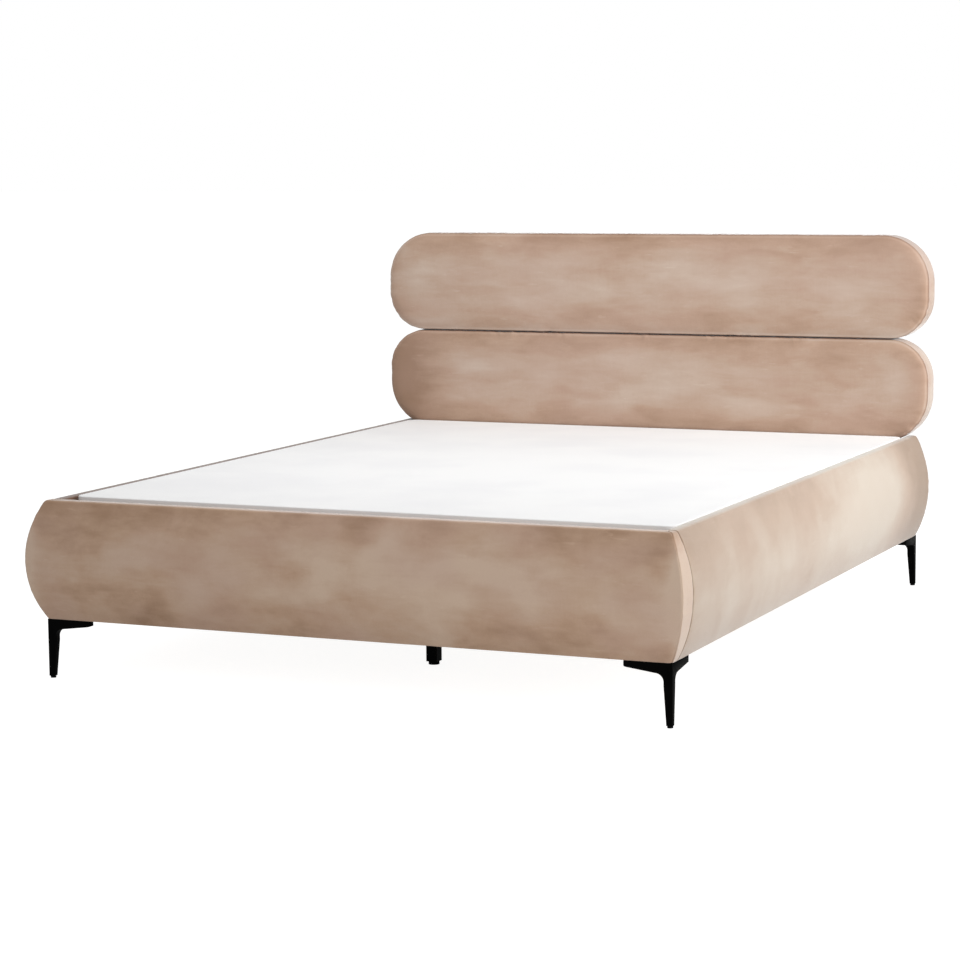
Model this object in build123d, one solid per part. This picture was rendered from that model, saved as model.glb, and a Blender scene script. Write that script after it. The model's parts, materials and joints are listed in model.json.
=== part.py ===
from build123d import *
import os

# Upholstered double bed. X runs across the bed, Y from the foot to the head, Z up.
# The origin is on the floor, in the middle of the bed's length and width. Millimetres.

# Mattress
mattress_width = 1600
mattress_length = 2000
mattress_thickness = 200
mattress_corner_radius = 30
mattress_edge_radius = 10
mattress_cover_thickness = 4
mattress_core_ease = 0.3
mattress_head_clearance = 0.5

# Upholstery shared by all padded pieces
fabric = 1.5
foam_ease = 0.3

# Side rails and footboard: a D section that bulges outwards
rail_height = 300
rail_bulge = 39
rail_lip = 26
rail_inner_clearance = 2.5
rail_board_thickness = 18
rail_board_top_foam = 8
rail_outer_top_radius = 9
rail_inner_top_radius = 7
rail_bottom_radius = 3
rail_inner_cover_height = 180
footboard_depth = 34
footboard_end_foam = 12
footboard_gap = 57
corner_joint_gap = 0.6

# Head end board
head_board_thickness = 18
head_board_top_gap = 5
head_board_side_ease = 0.3

# Legs and floor clearance
leg_height = 150
leg_arm_length = 122
leg_arm_width = 26
leg_arm_root_thickness = 27
leg_arm_tip_thickness = 14
leg_column_top_width = 21
leg_column_foot_width = 14.5
leg_root_height = 54
leg_fillet_radius = 20
leg_tip_radius = 12
leg_tip_edge_radius = 6
leg_screw_first = 58
leg_screw_pitch = 40
glide_radius = 7
glide_height = 5

# Headboard bolsters
bolster_width = 1744
bolster_height = 304
bolster_joint_gap = 1.5
bolster_drop = 18
bolster_crown = 8
# How far in from the seam, as a share of the height, and how far back, as a share of the crown
bolster_crown_shares = ((0, 1), (0.06, 0.6), (0.16, 0.26), (0.28, 0.06), (0.37, 0))
bolster_foam = 45
bolster_board_thickness = 12
bolster_board_inset = 12
bolster_ring_width = 60
bolster_bolt_ring_distance = 20
bolster_hem = 45
# Corner radii as shares of half the height
upper_bolster_top_round_share = 0.92
upper_bolster_bottom_round_share = 0.78
lower_bolster_top_round_share = 0.78
lower_bolster_bottom_round_share = 0.92

# Headboard uprights and lining
upright_width = 80
upright_thickness = 20
upright_spacing = 900
upright_foot_clearance = 15
upright_bolt_margin = 12
upright_notch_ease = 1
lining_thickness = 1
lining_inset = 30

# Slatted base
slat_count = 13
slat_width = 90
slat_thickness = 20
slat_end_ease = 4
ledger_depth = 25
ledger_height = 40
ledger_end_gap = 5
slat_field_foot_gap = 66
slat_field_head_gap = 12
beam_width = 30
beam_height = 60
beam_end_ease = 0.5
webbing_width = 25
webbing_thickness = 1.2
webbing_spacing = 1000

# Beam hangers
hanger_steel = 2
hanger_ease = 0.3
hanger_reach = 45
hanger_plate_width = 90
hanger_plate_drop = 8
hanger_screw_spacing = 66
hanger_screw_rise = 22

# Corner brackets
bracket_steel = 2.5
bracket_leg = 60
bracket_height = 86
bracket_foot_clearance = 6
bracket_bolt_reach = 38
bracket_bolt_inset = 22

# Centre legs with levelling feet
centre_leg_foot_distance = 510
centre_leg_head_distance = 590
centre_tube_width = 30
centre_tube_wall = 2
centre_plate_length = 100
centre_plate_thickness = 3
centre_plate_screw_spacing = 70
insert_height = 24
levelling_pad_radius = 14
levelling_pad_height = 8
levelling_stud_radius = 4
levelling_stud_length = 40
levelling_stud_clearance = 0.06
levelling_gap = 0.3

# Fasteners: shaft radius, head radius and head height
bolt_radius = 4
bolt_head_radius = 7
bolt_head_height = 4.5
bolt_recess_ease = 1
screw_radius = 2
screw_head_radius = 4
screw_head_height = 2.5
screw_length = 30
fastener_clearance = 0.15
fastener_tip_clearance = 2

# Length by which a cutting tool runs past what it cuts
overrun = 20

# Places worked out from the sizes above
inner_half_width = mattress_width / 2 + rail_inner_clearance
corner_half_width = inner_half_width + rail_lip
rail_bottom = leg_height
rail_top = leg_height + rail_height
mattress_bottom = rail_top - mattress_thickness
slat_bottom = mattress_bottom - slat_thickness
bolster_depth = fabric + bolster_foam + bolster_board_thickness
frame_length = (footboard_depth + footboard_gap + mattress_length
                + mattress_head_clearance + bolster_depth)
overall_length = rail_bulge + frame_length + upright_thickness + fabric + lining_thickness
foot_y = rail_bulge - overall_length / 2
footboard_inner_y = foot_y + footboard_depth
rail_front_y = footboard_inner_y + corner_joint_gap
rail_rear_y = foot_y + frame_length
mattress_front_y = footboard_inner_y + footboard_gap
bolster_front_y = rail_rear_y - bolster_depth
bolster_board_y = rail_rear_y - bolster_board_thickness
ring_back_y = rail_rear_y + upright_thickness
hem_back_y = ring_back_y + fabric
foot_board_face_y = footboard_inner_y - fabric
head_board_face_y = rail_rear_y - head_board_thickness
side_board_face_x = inner_half_width + fabric
lower_bolster_bottom = rail_top - bolster_drop
upper_bolster_bottom = lower_bolster_bottom + bolster_height + bolster_joint_gap
headboard_top = upper_bolster_bottom + bolster_height
bolster_half_width = bolster_width / 2
upper_bolster_top_radius = upper_bolster_top_round_share * bolster_height / 2
upper_bolster_bottom_radius = upper_bolster_bottom_round_share * bolster_height / 2
lower_bolster_top_radius = lower_bolster_top_round_share * bolster_height / 2
lower_bolster_bottom_radius = lower_bolster_bottom_round_share * bolster_height / 2

# Directions across and along the bed
left = -1
right = 1
footwards = -1
headwards = 1


def block(x0, x1, y0, y1, z0, z1):
    """A box between two opposite corners."""
    middle = Pos((x0 + x1) / 2, (y0 + y1) / 2, (z0 + z1) / 2)
    return middle * Box(x1 - x0, y1 - y0, z1 - z0)


def fastener(seat, into, radius, length, head_radius, head_height):
    """A screw or bolt whose head bears on the seat point and whose shaft runs into the work."""
    frame = Plane(origin=seat, z_dir=into).location
    shaft = frame * Pos(0, 0, length / 2) * Cylinder(radius, length)
    head = frame * Pos(0, 0, -head_height / 2) * Cylinder(head_radius, head_height)
    return shaft + head


def bolt(seat, into, length):
    return fastener(seat, into, bolt_radius, length, bolt_head_radius, bolt_head_height)


def bolt_hole(seat, into, length):
    """The clearance hole of a bolt, with a recess for its head."""
    return fastener(seat, into, bolt_radius + fastener_clearance, length + fastener_tip_clearance,
                    bolt_head_radius + bolt_recess_ease, bolt_head_height + overrun)


def screw(seat, into, length=screw_length):
    return fastener(seat, into, screw_radius, length, screw_head_radius, screw_head_height)


def screw_hole(seat, into, length=screw_length):
    """The hole of a screw, open above the seat so that the head can reach it."""
    return fastener(seat, into, screw_radius + fastener_clearance, length + fastener_tip_clearance,
                    screw_head_radius + fastener_clearance, screw_head_height + overrun)


def cut(part, tools):
    for tool in tools:
        part = part - tool
    return part


def both_sides(part):
    return mirror(part, about=Plane.YZ)


def round_corner(sketch, corner, radius):
    """Rounds the one corner of a flat outline that lies nearest to a point."""
    return fillet(sketch.vertices().sort_by_distance(corner)[0], radius)


# Outlines of the padded pieces

def arc_bulge(inset, half_chord):
    """How far the D section stands out beyond the corner line at a height from its middle."""
    radius = ((rail_height / 2) ** 2 + rail_bulge ** 2) / (2 * rail_bulge)
    return ((radius - inset) ** 2 - half_chord ** 2) ** 0.5 - (radius - rail_bulge)


def d_section(depth, inset):
    """The rail's section, drawn with the inner face at zero and the bulge towards +X."""
    half = rail_height / 2
    low = inset
    high = rail_height - inset
    edge = depth + arc_bulge(inset, half - inset)
    belly = depth + rail_bulge - inset
    outline = Polyline((edge, high), (inset, high), (inset, low), (edge, low))
    outline += ThreePointArc((edge, low), (belly, half), (edge, high))
    section = make_face(outline)
    section = round_corner(section, (edge, high), rail_outer_top_radius - inset)
    section = round_corner(section, (inset, high), rail_inner_top_radius - inset)
    return round_corner(section, (edge, low), rail_bottom_radius - inset)


def side_rail_form(inset):
    """The right side rail's padded form; the rear end is closed, so it is inset there too."""
    plane = Plane(origin=(inner_half_width, rail_front_y, rail_bottom), x_dir=(1, 0, 0), z_dir=(0, -1, 0))
    length = rail_rear_y - inset - rail_front_y
    return extrude(plane * d_section(rail_lip, inset), amount=length, dir=(0, 1, 0))


def mitre_side(side):
    """The space beyond the upright mitre plane through one front corner line."""
    size = 2 * rail_height
    corner = Pos(side * corner_half_width, foot_y, rail_bottom + rail_height / 2)
    turn = Rot(0, 0, 90 - side * 45)
    return corner * turn * Pos(size / 2, 0, 0) * Box(size, size, size)


def footboard_return(inset):
    """The footboard's right end, which turns the corner and ends where the side rail begins."""
    start = foot_y - rail_bulge - overrun
    inner_x = corner_half_width - footboard_depth
    plane = Plane(origin=(inner_x, start, rail_bottom), x_dir=(1, 0, 0), z_dir=(0, -1, 0))
    length = footboard_inner_y - inset - start
    along = extrude(plane * d_section(footboard_depth, inset), amount=length, dir=(0, 1, 0))
    return along & mitre_side(right)


def footboard_form(inset):
    """The footboard's form: its front and both returns, joined on the mitre planes."""
    reach = corner_half_width + rail_bulge + overrun
    plane = Plane(origin=(-reach, footboard_inner_y, rail_bottom), x_dir=(0, -1, 0), z_dir=(-1, 0, 0))
    front = extrude(plane * d_section(footboard_depth, inset), amount=2 * reach, dir=(1, 0, 0))
    front = front - mitre_side(left) - mitre_side(right)
    corner = footboard_return(inset)
    return front + corner + both_sides(corner)


def bolster_outline(bottom, top_radius, bottom_radius, inset):
    """A bolster's front outline on the XZ plane."""
    half = bolster_half_width - inset
    low = bottom + inset
    high = bottom + bolster_height - inset
    middle = (low + high) / 2
    plate = Pos(0, middle) * Rectangle(2 * half, high - low)
    for side in (left, right):
        plate = round_corner(plate, (side * half, high), top_radius - inset)
        plate = round_corner(plate, (side * half, low), bottom_radius - inset)
    return plate


def bolster_plane(y):
    return Plane(origin=(0, y, 0), x_dir=(1, 0, 0), z_dir=(0, -1, 0))


def bolster_slab(outline, y0, y1):
    """An outline of the XZ plane made solid between two places along Y."""
    return extrude(bolster_plane(y0) * outline, amount=y1 - y0, dir=(0, 1, 0))


def bolster_form(bottom, top_radius, bottom_radius, inset, back):
    """A bolster's padded form: straight sides up to the seam, then a crowned face."""
    front = bolster_front_y + inset
    seam_outline = bolster_outline(bottom, top_radius, bottom_radius, inset)
    body = bolster_slab(seam_outline, front + bolster_crown, back)
    sections = []
    for inward, rearward in bolster_crown_shares:
        outline = bolster_outline(bottom, top_radius, bottom_radius, inset + inward * bolster_height)
        sections.append(bolster_plane(front + rearward * bolster_crown) * outline)
    return body + loft(sections, ruled=True)


# Fasteners' places

def upright_centres():
    return (-upright_spacing / 2, upright_spacing / 2)


def head_board_bolts():
    """Seats of the bolts that hold the uprights to the head end board."""
    middle = (rail_bottom + lower_bolster_bottom) / 2
    rise = (lower_bolster_bottom - rail_bottom) / 4
    seat_y = ring_back_y - bolt_head_height
    return [(x, seat_y, z) for x in upright_centres() for z in (middle - rise, middle + rise)]


def bolster_bolt_levels(bottom):
    """Both levels lie inside the ring, at the same distance from its lower and upper members."""
    inward = bolster_board_inset + bolster_ring_width + bolster_bolt_ring_distance
    return (bottom + inward, bottom + bolster_height - inward)


def bolster_bolts(bottom):
    """Seats of the bolts that hold one bolster's board to the uprights."""
    seat_y = ring_back_y - bolt_head_height
    return [(x, seat_y, z) for x in upright_centres() for z in bolster_bolt_levels(bottom)]


bolster_bolt_length = upright_thickness - bolt_head_height + bolster_board_thickness
head_bolt_length = upright_thickness - bolt_head_height + head_board_thickness - fastener_tip_clearance
bracket_bolt_length = bracket_steel + rail_board_thickness - fastener_tip_clearance
hanger_screw_length = hanger_steel + rail_board_thickness - 2 * fastener_tip_clearance
into_foot = (0, -1, 0)
into_head = (0, 1, 0)
upwards = (0, 0, 1)
downwards = (0, 0, -1)


def bracket_levels():
    low = rail_bottom + bracket_foot_clearance
    return (low + bracket_bolt_inset, low + bracket_height - bracket_bolt_inset)


def side_bolts(side):
    """Bolts of both corner brackets into one side rail's board."""
    seat_x = side * (side_board_face_x - bracket_steel)
    front = foot_board_face_y + bracket_bolt_reach
    rear = head_board_face_y - bracket_bolt_reach
    return [((seat_x, y, z), (side, 0, 0)) for y in (front, rear) for z in bracket_levels()]


def end_bolts(seat_y, into):
    """Bolts of both corner brackets into the footboard's or the head end board."""
    seat_x = side_board_face_x - bracket_bolt_reach
    return [((side * seat_x, seat_y, z), into) for side in (left, right) for z in bracket_levels()]


def foot_end_bolts():
    return end_bolts(foot_board_face_y + bracket_steel, into_foot)


def head_end_bolts():
    return end_bolts(head_board_face_y - bracket_steel, into_head)


def hanger_screws(seat_y, into):
    rise = slat_bottom - beam_height + hanger_screw_rise / 2
    half = hanger_screw_spacing / 2
    levels = (rise, rise + hanger_screw_rise)
    return [((side * half, seat_y, z), into) for side in (left, right) for z in levels]


def foot_hanger_screws():
    return hanger_screws(foot_board_face_y + hanger_steel, into_foot)


def head_hanger_screws():
    return hanger_screws(head_board_face_y - hanger_steel, into_head)


ledger_front_y = foot_board_face_y + bracket_leg + ledger_end_gap
ledger_rear_y = head_board_face_y - bracket_leg - ledger_end_gap
ledger_inner_x = side_board_face_x - ledger_depth


def ledger_screws(side):
    """Screws through one ledger into its rail, evenly spaced along it."""
    count = 6
    pitch = (ledger_rear_y - ledger_front_y) / count
    places = [ledger_front_y + pitch * (index + 0.5) for index in range(count)]
    middle = slat_bottom - ledger_height / 2
    seat_x = side * (ledger_inner_x + screw_head_height)
    return [((seat_x, y, middle), (side, 0, 0)) for y in places]


def leg_screw_distances():
    return (leg_screw_first, leg_screw_first + leg_screw_pitch)


def leg_screws_along_side(side):
    """Screws up into a side rail's board, for the legs at both of its ends."""
    x = side * (side_board_face_x + rail_board_thickness / 2)
    places = [foot_y + distance for distance in leg_screw_distances()]
    places += [rail_rear_y - distance for distance in leg_screw_distances()]
    return [((x, y, rail_bottom - leg_arm_tip_thickness / 2), upwards) for y in places]


def leg_screws_along_end(board_face_y, away, thickness):
    """Screws up into the footboard's or the head end board, for the legs at both corners."""
    y = board_face_y + away * thickness / 2
    seat_z = rail_bottom - leg_arm_tip_thickness / 2
    places = [corner_half_width - distance for distance in leg_screw_distances()]
    return [((side * x, y, seat_z), upwards) for side in (left, right) for x in places]


def foot_leg_screws():
    return leg_screws_along_end(foot_board_face_y, footwards, rail_board_thickness)


def head_leg_screws():
    return leg_screws_along_end(head_board_face_y, headwards, head_board_thickness)


centre_leg_places = (foot_y + centre_leg_foot_distance, rail_rear_y - centre_leg_head_distance)
beam_bottom = slat_bottom - beam_height


def centre_leg_screws(y):
    half = centre_plate_screw_spacing / 2
    seat_z = beam_bottom - centre_plate_thickness
    return [((0, y + side * half, seat_z), upwards) for side in (left, right)]


def slat_places():
    """The middle of each slat along Y, evenly spaced over the slat field."""
    first = footboard_inner_y + slat_field_foot_gap + slat_width / 2
    last = rail_rear_y - bolster_depth - slat_field_head_gap - slat_width / 2
    pitch = (last - first) / (slat_count - 1)
    return [first + pitch * index for index in range(slat_count)]


def slat_screws(y):
    """The end slats are screwed down to both ledgers."""
    seat_z = mattress_bottom - screw_head_height - fastener_clearance
    x = ledger_inner_x + ledger_depth / 3
    return [((side * x, y, seat_z), downwards) for side in (left, right)]


# Side rails

def side_rail_board():
    x0 = side_board_face_x
    board = block(x0, x0 + rail_board_thickness, rail_front_y, rail_rear_y - fabric,
                  rail_bottom + fabric, rail_top - fabric - rail_board_top_foam)
    holes = [bolt_hole(seat, into, bracket_bolt_length) for seat, into in side_bolts(right)]
    holes += [screw_hole(seat, into) for seat, into in ledger_screws(right) + leg_screws_along_side(right)]
    return cut(board, holes)


def side_rail_foam():
    x0 = side_board_face_x
    pocket = block(x0 - overrun, x0 + rail_board_thickness, rail_front_y - overrun, rail_rear_y + overrun,
                   rail_bottom - overrun, rail_top - fabric - rail_board_top_foam)
    return side_rail_form(fabric + foam_ease) - pocket


def side_rail_cover():
    """The cover is open inside below its flap, where the board carries ledger and brackets."""
    cover = side_rail_form(0) - side_rail_form(fabric)
    x0 = inner_half_width
    opening = block(x0 - overrun, side_board_face_x, rail_front_y - overrun, rail_rear_y + overrun,
                    rail_bottom - overrun, rail_top - rail_inner_cover_height)
    holes = [screw_hole(seat, into) for seat, into in leg_screws_along_side(right)]
    return cut(cover, [opening] + holes)


# Footboard

def footboard_board():
    half = corner_half_width - footboard_end_foam
    board = block(-half, half, foot_board_face_y - rail_board_thickness, foot_board_face_y,
                  rail_bottom + fabric, rail_top - fabric - rail_board_top_foam)
    holes = [bolt_hole(seat, into, bracket_bolt_length) for seat, into in foot_end_bolts()]
    holes += [screw_hole(seat, into, hanger_screw_length) for seat, into in foot_hanger_screws()]
    holes += [screw_hole(seat, into) for seat, into in foot_leg_screws()]
    return cut(board, holes)


def footboard_foam():
    half = corner_half_width - footboard_end_foam
    pocket = block(-half, half, foot_board_face_y - rail_board_thickness, foot_board_face_y + overrun,
                   rail_bottom - overrun, rail_top - fabric - rail_board_top_foam)
    return footboard_form(fabric + foam_ease) - pocket


def footboard_cover():
    """Open inside below its flap, between the side rails."""
    cover = footboard_form(0) - footboard_form(fabric)
    opening = block(-side_board_face_x, side_board_face_x, foot_board_face_y, footboard_inner_y + overrun,
                    rail_bottom - overrun, rail_top - rail_inner_cover_height)
    holes = [screw_hole(seat, into) for seat, into in foot_leg_screws()]
    return cut(cover, [opening] + holes)


def head_end_board():
    half = side_board_face_x - head_board_side_ease
    board = block(-half, half, head_board_face_y, rail_rear_y,
                  rail_bottom, rail_top - rail_inner_cover_height)
    shoulder = inner_half_width - head_board_side_ease
    board += block(-shoulder, shoulder, head_board_face_y, rail_rear_y,
                   rail_bottom, lower_bolster_bottom - head_board_top_gap)
    holes = [bolt_hole(seat, into, bracket_bolt_length) for seat, into in head_end_bolts()]
    holes += [bolt_hole(seat, into_foot, head_bolt_length) for seat in head_board_bolts()]
    holes += [screw_hole(seat, into, hanger_screw_length) for seat, into in head_hanger_screws()]
    holes += [screw_hole(seat, into) for seat, into in head_leg_screws()]
    return cut(board, holes)


# Headboard

lower_bolster = (lower_bolster_bottom, lower_bolster_top_radius, lower_bolster_bottom_radius)
upper_bolster = (upper_bolster_bottom, upper_bolster_top_radius, upper_bolster_bottom_radius)


def upright_notches(bottom, top):
    """Room for both uprights through the rim of a bolster."""
    half = upright_width / 2 + upright_notch_ease
    return [block(x - half, x + half, rail_rear_y, hem_back_y + overrun, bottom, top)
            for x in upright_centres()]


def lower_notches():
    return upright_notches(lower_bolster_bottom - overrun, upper_bolster_bottom)


def upper_notches():
    top = upper_bolster_bottom + bolster_board_inset + bolster_ring_width + overrun
    return upright_notches(upper_bolster_bottom - overrun, top)


def bolster_board(bolster):
    outline = bolster_outline(*bolster, bolster_board_inset)
    board = bolster_slab(outline, bolster_board_y, rail_rear_y)
    holes = [bolt_hole(seat, into_foot, bolster_bolt_length) for seat in bolster_bolts(bolster[0])]
    return cut(board, holes)


def bolster_ring(bolster, notches):
    """The frame that stiffens the board's edge and gives the bolster its depth."""
    outer = bolster_slab(bolster_outline(*bolster, bolster_board_inset), rail_rear_y, ring_back_y)
    inner_inset = bolster_board_inset + bolster_ring_width
    inner = bolster_slab(bolster_outline(*bolster, inner_inset), rail_rear_y, ring_back_y)
    return cut(outer - inner, notches)


def bolster_foam_block(bolster, notches):
    form = bolster_form(*bolster, fabric + foam_ease, ring_back_y)
    pocket = bolster_slab(bolster_outline(*bolster, bolster_board_inset), bolster_board_y, hem_back_y)
    return cut(form - pocket, notches)


def bolster_cover(bolster, notches):
    """Face, boxing strip and the hem turned over on to the back of the ring."""
    cover = bolster_form(*bolster, 0, hem_back_y) - bolster_form(*bolster, fabric, ring_back_y)
    back_opening = bolster_slab(bolster_outline(*bolster, bolster_hem), rail_rear_y, hem_back_y + overrun)
    return cut(cover - back_opening, notches)


def headboard_lining():
    """One sheet over the back of each bolster."""
    back = hem_back_y + lining_thickness
    outlines = [bolster_outline(*bolster, lining_inset) for bolster in (lower_bolster, upper_bolster)]
    sheets = [bolster_slab(outline, hem_back_y, back) for outline in outlines]
    return sheets[0] + sheets[1]


def headboard_upright(x):
    half = upright_width / 2
    top = bolster_bolt_levels(upper_bolster_bottom)[-1] + upright_bolt_margin
    upright = block(x - half, x + half, rail_rear_y, ring_back_y, rail_bottom + upright_foot_clearance, top)
    holes = [bolt_hole(seat, into_foot, head_bolt_length) for seat in head_board_bolts()]
    for bolster in (lower_bolster, upper_bolster):
        holes += [bolt_hole(seat, into_foot, bolster_bolt_length) for seat in bolster_bolts(bolster[0])]
    return cut(upright, holes)


# Corner brackets and bolts

def corner_bracket_front_right():
    """Steel angle in the corner between the footboard's board and the right rail's board."""
    x1 = side_board_face_x
    y0 = foot_board_face_y
    z0 = rail_bottom + bracket_foot_clearance
    z1 = z0 + bracket_height
    angle = block(x1 - bracket_leg, x1, y0, y0 + bracket_steel, z0, z1)
    angle += block(x1 - bracket_steel, x1, y0, y0 + bracket_leg, z0, z1)
    places = side_bolts(right) + foot_end_bolts()
    holes = [bolt_hole(seat, into, bracket_bolt_length) for seat, into in places]
    return cut(angle, holes)


def corner_bracket_rear_right():
    x1 = side_board_face_x
    y1 = head_board_face_y
    z0 = rail_bottom + bracket_foot_clearance
    z1 = z0 + bracket_height
    angle = block(x1 - bracket_leg, x1, y1 - bracket_steel, y1, z0, z1)
    angle += block(x1 - bracket_steel, x1, y1 - bracket_leg, y1, z0, z1)
    places = side_bolts(right) + head_end_bolts()
    holes = [bolt_hole(seat, into, bracket_bolt_length) for seat, into in places]
    return cut(angle, holes)


def frame_bolts():
    places = side_bolts(right) + side_bolts(left) + foot_end_bolts() + head_end_bolts()
    bolts = [bolt(seat, into, bracket_bolt_length) for seat, into in places]
    bolts += [bolt(seat, into_foot, head_bolt_length) for seat in head_board_bolts()]
    for bolster in (lower_bolster, upper_bolster):
        bolts += [bolt(seat, into_foot, bolster_bolt_length) for seat in bolster_bolts(bolster[0])]
    return Compound(bolts)


# Slatted base

def side_ledger():
    ledger = block(ledger_inner_x, side_board_face_x, ledger_front_y, ledger_rear_y,
                   slat_bottom - ledger_height, slat_bottom)
    holes = [screw_hole(seat, into) for seat, into in ledger_screws(right)]
    for y in (slat_places()[0], slat_places()[-1]):
        holes += [screw_hole(seat, into) for seat, into in slat_screws(y)]
    return cut(ledger, holes)


def slat(y):
    half = side_board_face_x - slat_end_ease
    board = block(-half, half, y - slat_width / 2, y + slat_width / 2, slat_bottom, mattress_bottom)
    if y in (slat_places()[0], slat_places()[-1]):
        board = cut(board, [screw_hole(seat, into) for seat, into in slat_screws(y)])
    return board


def slat_webbing():
    """Two bands stapled under the slats, which keep them apart."""
    y0 = slat_places()[0] - slat_width / 2
    y1 = slat_places()[-1] + slat_width / 2
    half = webbing_width / 2
    bands = [block(side * webbing_spacing / 2 - half, side * webbing_spacing / 2 + half, y0, y1,
                   slat_bottom - webbing_thickness, slat_bottom) for side in (left, right)]
    return bands[0] + bands[1]


def centre_beam():
    y0 = foot_board_face_y + hanger_steel + beam_end_ease
    y1 = head_board_face_y - hanger_steel - beam_end_ease
    beam = block(-beam_width / 2, beam_width / 2, y0, y1, beam_bottom, slat_bottom)
    holes = [screw_hole(seat, into) for y in centre_leg_places for seat, into in centre_leg_screws(y)]
    return cut(beam, holes)


def beam_hanger_front():
    """A steel cradle on the footboard's board that holds the beam's end."""
    y0 = foot_board_face_y
    y1 = y0 + hanger_steel
    z0 = beam_bottom - hanger_plate_drop
    inside = beam_width / 2 + hanger_ease
    hanger = block(-hanger_plate_width / 2, hanger_plate_width / 2, y0, y1, z0, slat_bottom)
    hanger += block(-inside - hanger_steel, inside + hanger_steel, y0, y0 + hanger_reach,
                    beam_bottom - hanger_steel, beam_bottom)
    cheek_top = beam_bottom + beam_height / 2
    for side in (left, right):
        near = side * inside
        far = side * (inside + hanger_steel)
        hanger += block(min(near, far), max(near, far), y0, y0 + hanger_reach,
                        beam_bottom - hanger_steel, cheek_top)
    holes = [screw_hole(seat, into, hanger_screw_length) for seat, into in foot_hanger_screws()]
    return cut(hanger, holes)


def beam_hanger_rear():
    middle_y = (foot_board_face_y + head_board_face_y) / 2
    return mirror(beam_hanger_front(), about=Plane(origin=(0, middle_y, 0), z_dir=(0, 1, 0)))


def wood_screws():
    places = ledger_screws(right) + ledger_screws(left)
    for y in centre_leg_places:
        places += centre_leg_screws(y)
    for y in (slat_places()[0], slat_places()[-1]):
        places += slat_screws(y)
    screws = [screw(seat, into) for seat, into in places]
    short = foot_hanger_screws() + head_hanger_screws()
    screws += [screw(seat, into, hanger_screw_length) for seat, into in short]
    return Compound(screws)


# Centre legs

tube_bottom = levelling_pad_height + levelling_gap


def centre_leg(y):
    """A square steel tube welded under a plate that is screwed to the beam."""
    half = centre_tube_width / 2
    inner = half - centre_tube_wall
    plate_bottom = beam_bottom - centre_plate_thickness
    tube = block(-half, half, y - half, y + half, tube_bottom, plate_bottom)
    tube -= block(-inner, inner, y - inner, y + inner, tube_bottom - overrun, plate_bottom)
    plate = block(-half, half, y - centre_plate_length / 2, y + centre_plate_length / 2,
                  plate_bottom, beam_bottom)
    holes = [screw_hole(seat, into) for seat, into in centre_leg_screws(y)]
    return tube + cut(plate, holes)


def centre_leg_inserts():
    """Plugs in the tubes' lower ends, with the thread of the levelling feet."""
    inner = centre_tube_width / 2 - centre_tube_wall
    plugs = []
    for y in centre_leg_places:
        plug = block(-inner, inner, y - inner, y + inner, tube_bottom, tube_bottom + insert_height)
        bore = Cylinder(levelling_stud_radius + levelling_stud_clearance, 2 * insert_height + overrun)
        plugs.append(plug - Pos(0, y, tube_bottom + insert_height / 2) * bore)
    return Compound([solid for plug in plugs for solid in plug.solids()])


def levelling_foot(y):
    pad = Pos(0, y, levelling_pad_height / 2) * Cylinder(levelling_pad_radius, levelling_pad_height)
    stud_middle = levelling_pad_height + levelling_stud_length / 2
    stud = Pos(0, y, stud_middle) * Cylinder(levelling_stud_radius, levelling_stud_length)
    return pad + stud


# Corner legs

def leg_arm():
    """One arm with the column's root, drawn along -X from the leg's outer corner."""
    root = leg_column_top_width
    outline = Polyline((0, 0), (leg_arm_length, 0), (leg_arm_length, -leg_arm_tip_thickness),
                       (root, -leg_arm_root_thickness), (root, -leg_root_height),
                       (0, -leg_root_height), (0, 0))
    side_view = make_face(outline)
    side_view = round_corner(side_view, (root, -leg_arm_root_thickness), leg_fillet_radius)
    for z in (0, -leg_arm_tip_thickness):
        side_view = round_corner(side_view, (leg_arm_length, z), leg_tip_edge_radius)
    plane = Plane(origin=(0, 0, 0), x_dir=(-1, 0, 0), z_dir=(0, 1, 0))
    arm = extrude(plane * side_view, amount=leg_arm_width, dir=(0, 1, 0))
    plan = Pos(-leg_arm_length / 2, leg_arm_width / 2) * Rectangle(leg_arm_length, leg_arm_width)
    for y in (0, leg_arm_width):
        plan = round_corner(plan, (-leg_arm_length, y), leg_tip_radius)
    arm = arm & extrude(plan, amount=-leg_root_height)
    # Below the arm's root its web is only as wide as the column
    beside = block(-leg_arm_length - overrun, overrun, root, leg_arm_width + overrun,
                   -leg_root_height - overrun, -leg_arm_root_thickness)
    return arm - beside


def corner_leg_front_right():
    """A cast leg: two arms at a right angle and a column that tapers towards its foot."""
    arm_across = leg_arm()
    arm_along = mirror(arm_across, about=Plane(origin=(0, 0, 0), z_dir=(1, 1, 0)))
    top = leg_column_top_width
    foot = leg_column_foot_width
    upper_outline = Pos(-top / 2, top / 2, -leg_root_height) * Rectangle(top, top)
    lower_outline = Pos(-foot / 2, foot / 2, glide_height - leg_height) * Rectangle(foot, foot)
    column = loft([lower_outline, upper_outline], ruled=True)
    core = block(-top, 0, 0, top, -leg_root_height, 0)
    leg = arm_across + arm_along + core + column
    leg = Pos(corner_half_width, foot_y, rail_bottom) * leg
    places = leg_screws_along_side(right) + foot_leg_screws()
    return cut(leg, [screw_hole(seat, into) for seat, into in places])


def corner_leg_rear_right():
    middle_y = (foot_y + rail_rear_y) / 2
    leg = mirror(corner_leg_front_right(), about=Plane(origin=(0, middle_y, 0), z_dir=(0, 1, 0)))
    return cut(leg, [screw_hole(seat, into) for seat, into in head_leg_screws()])


def leg_screws():
    places = leg_screws_along_side(right) + leg_screws_along_side(left)
    places += foot_leg_screws() + head_leg_screws()
    return Compound([screw(seat, into) for seat, into in places])


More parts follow.
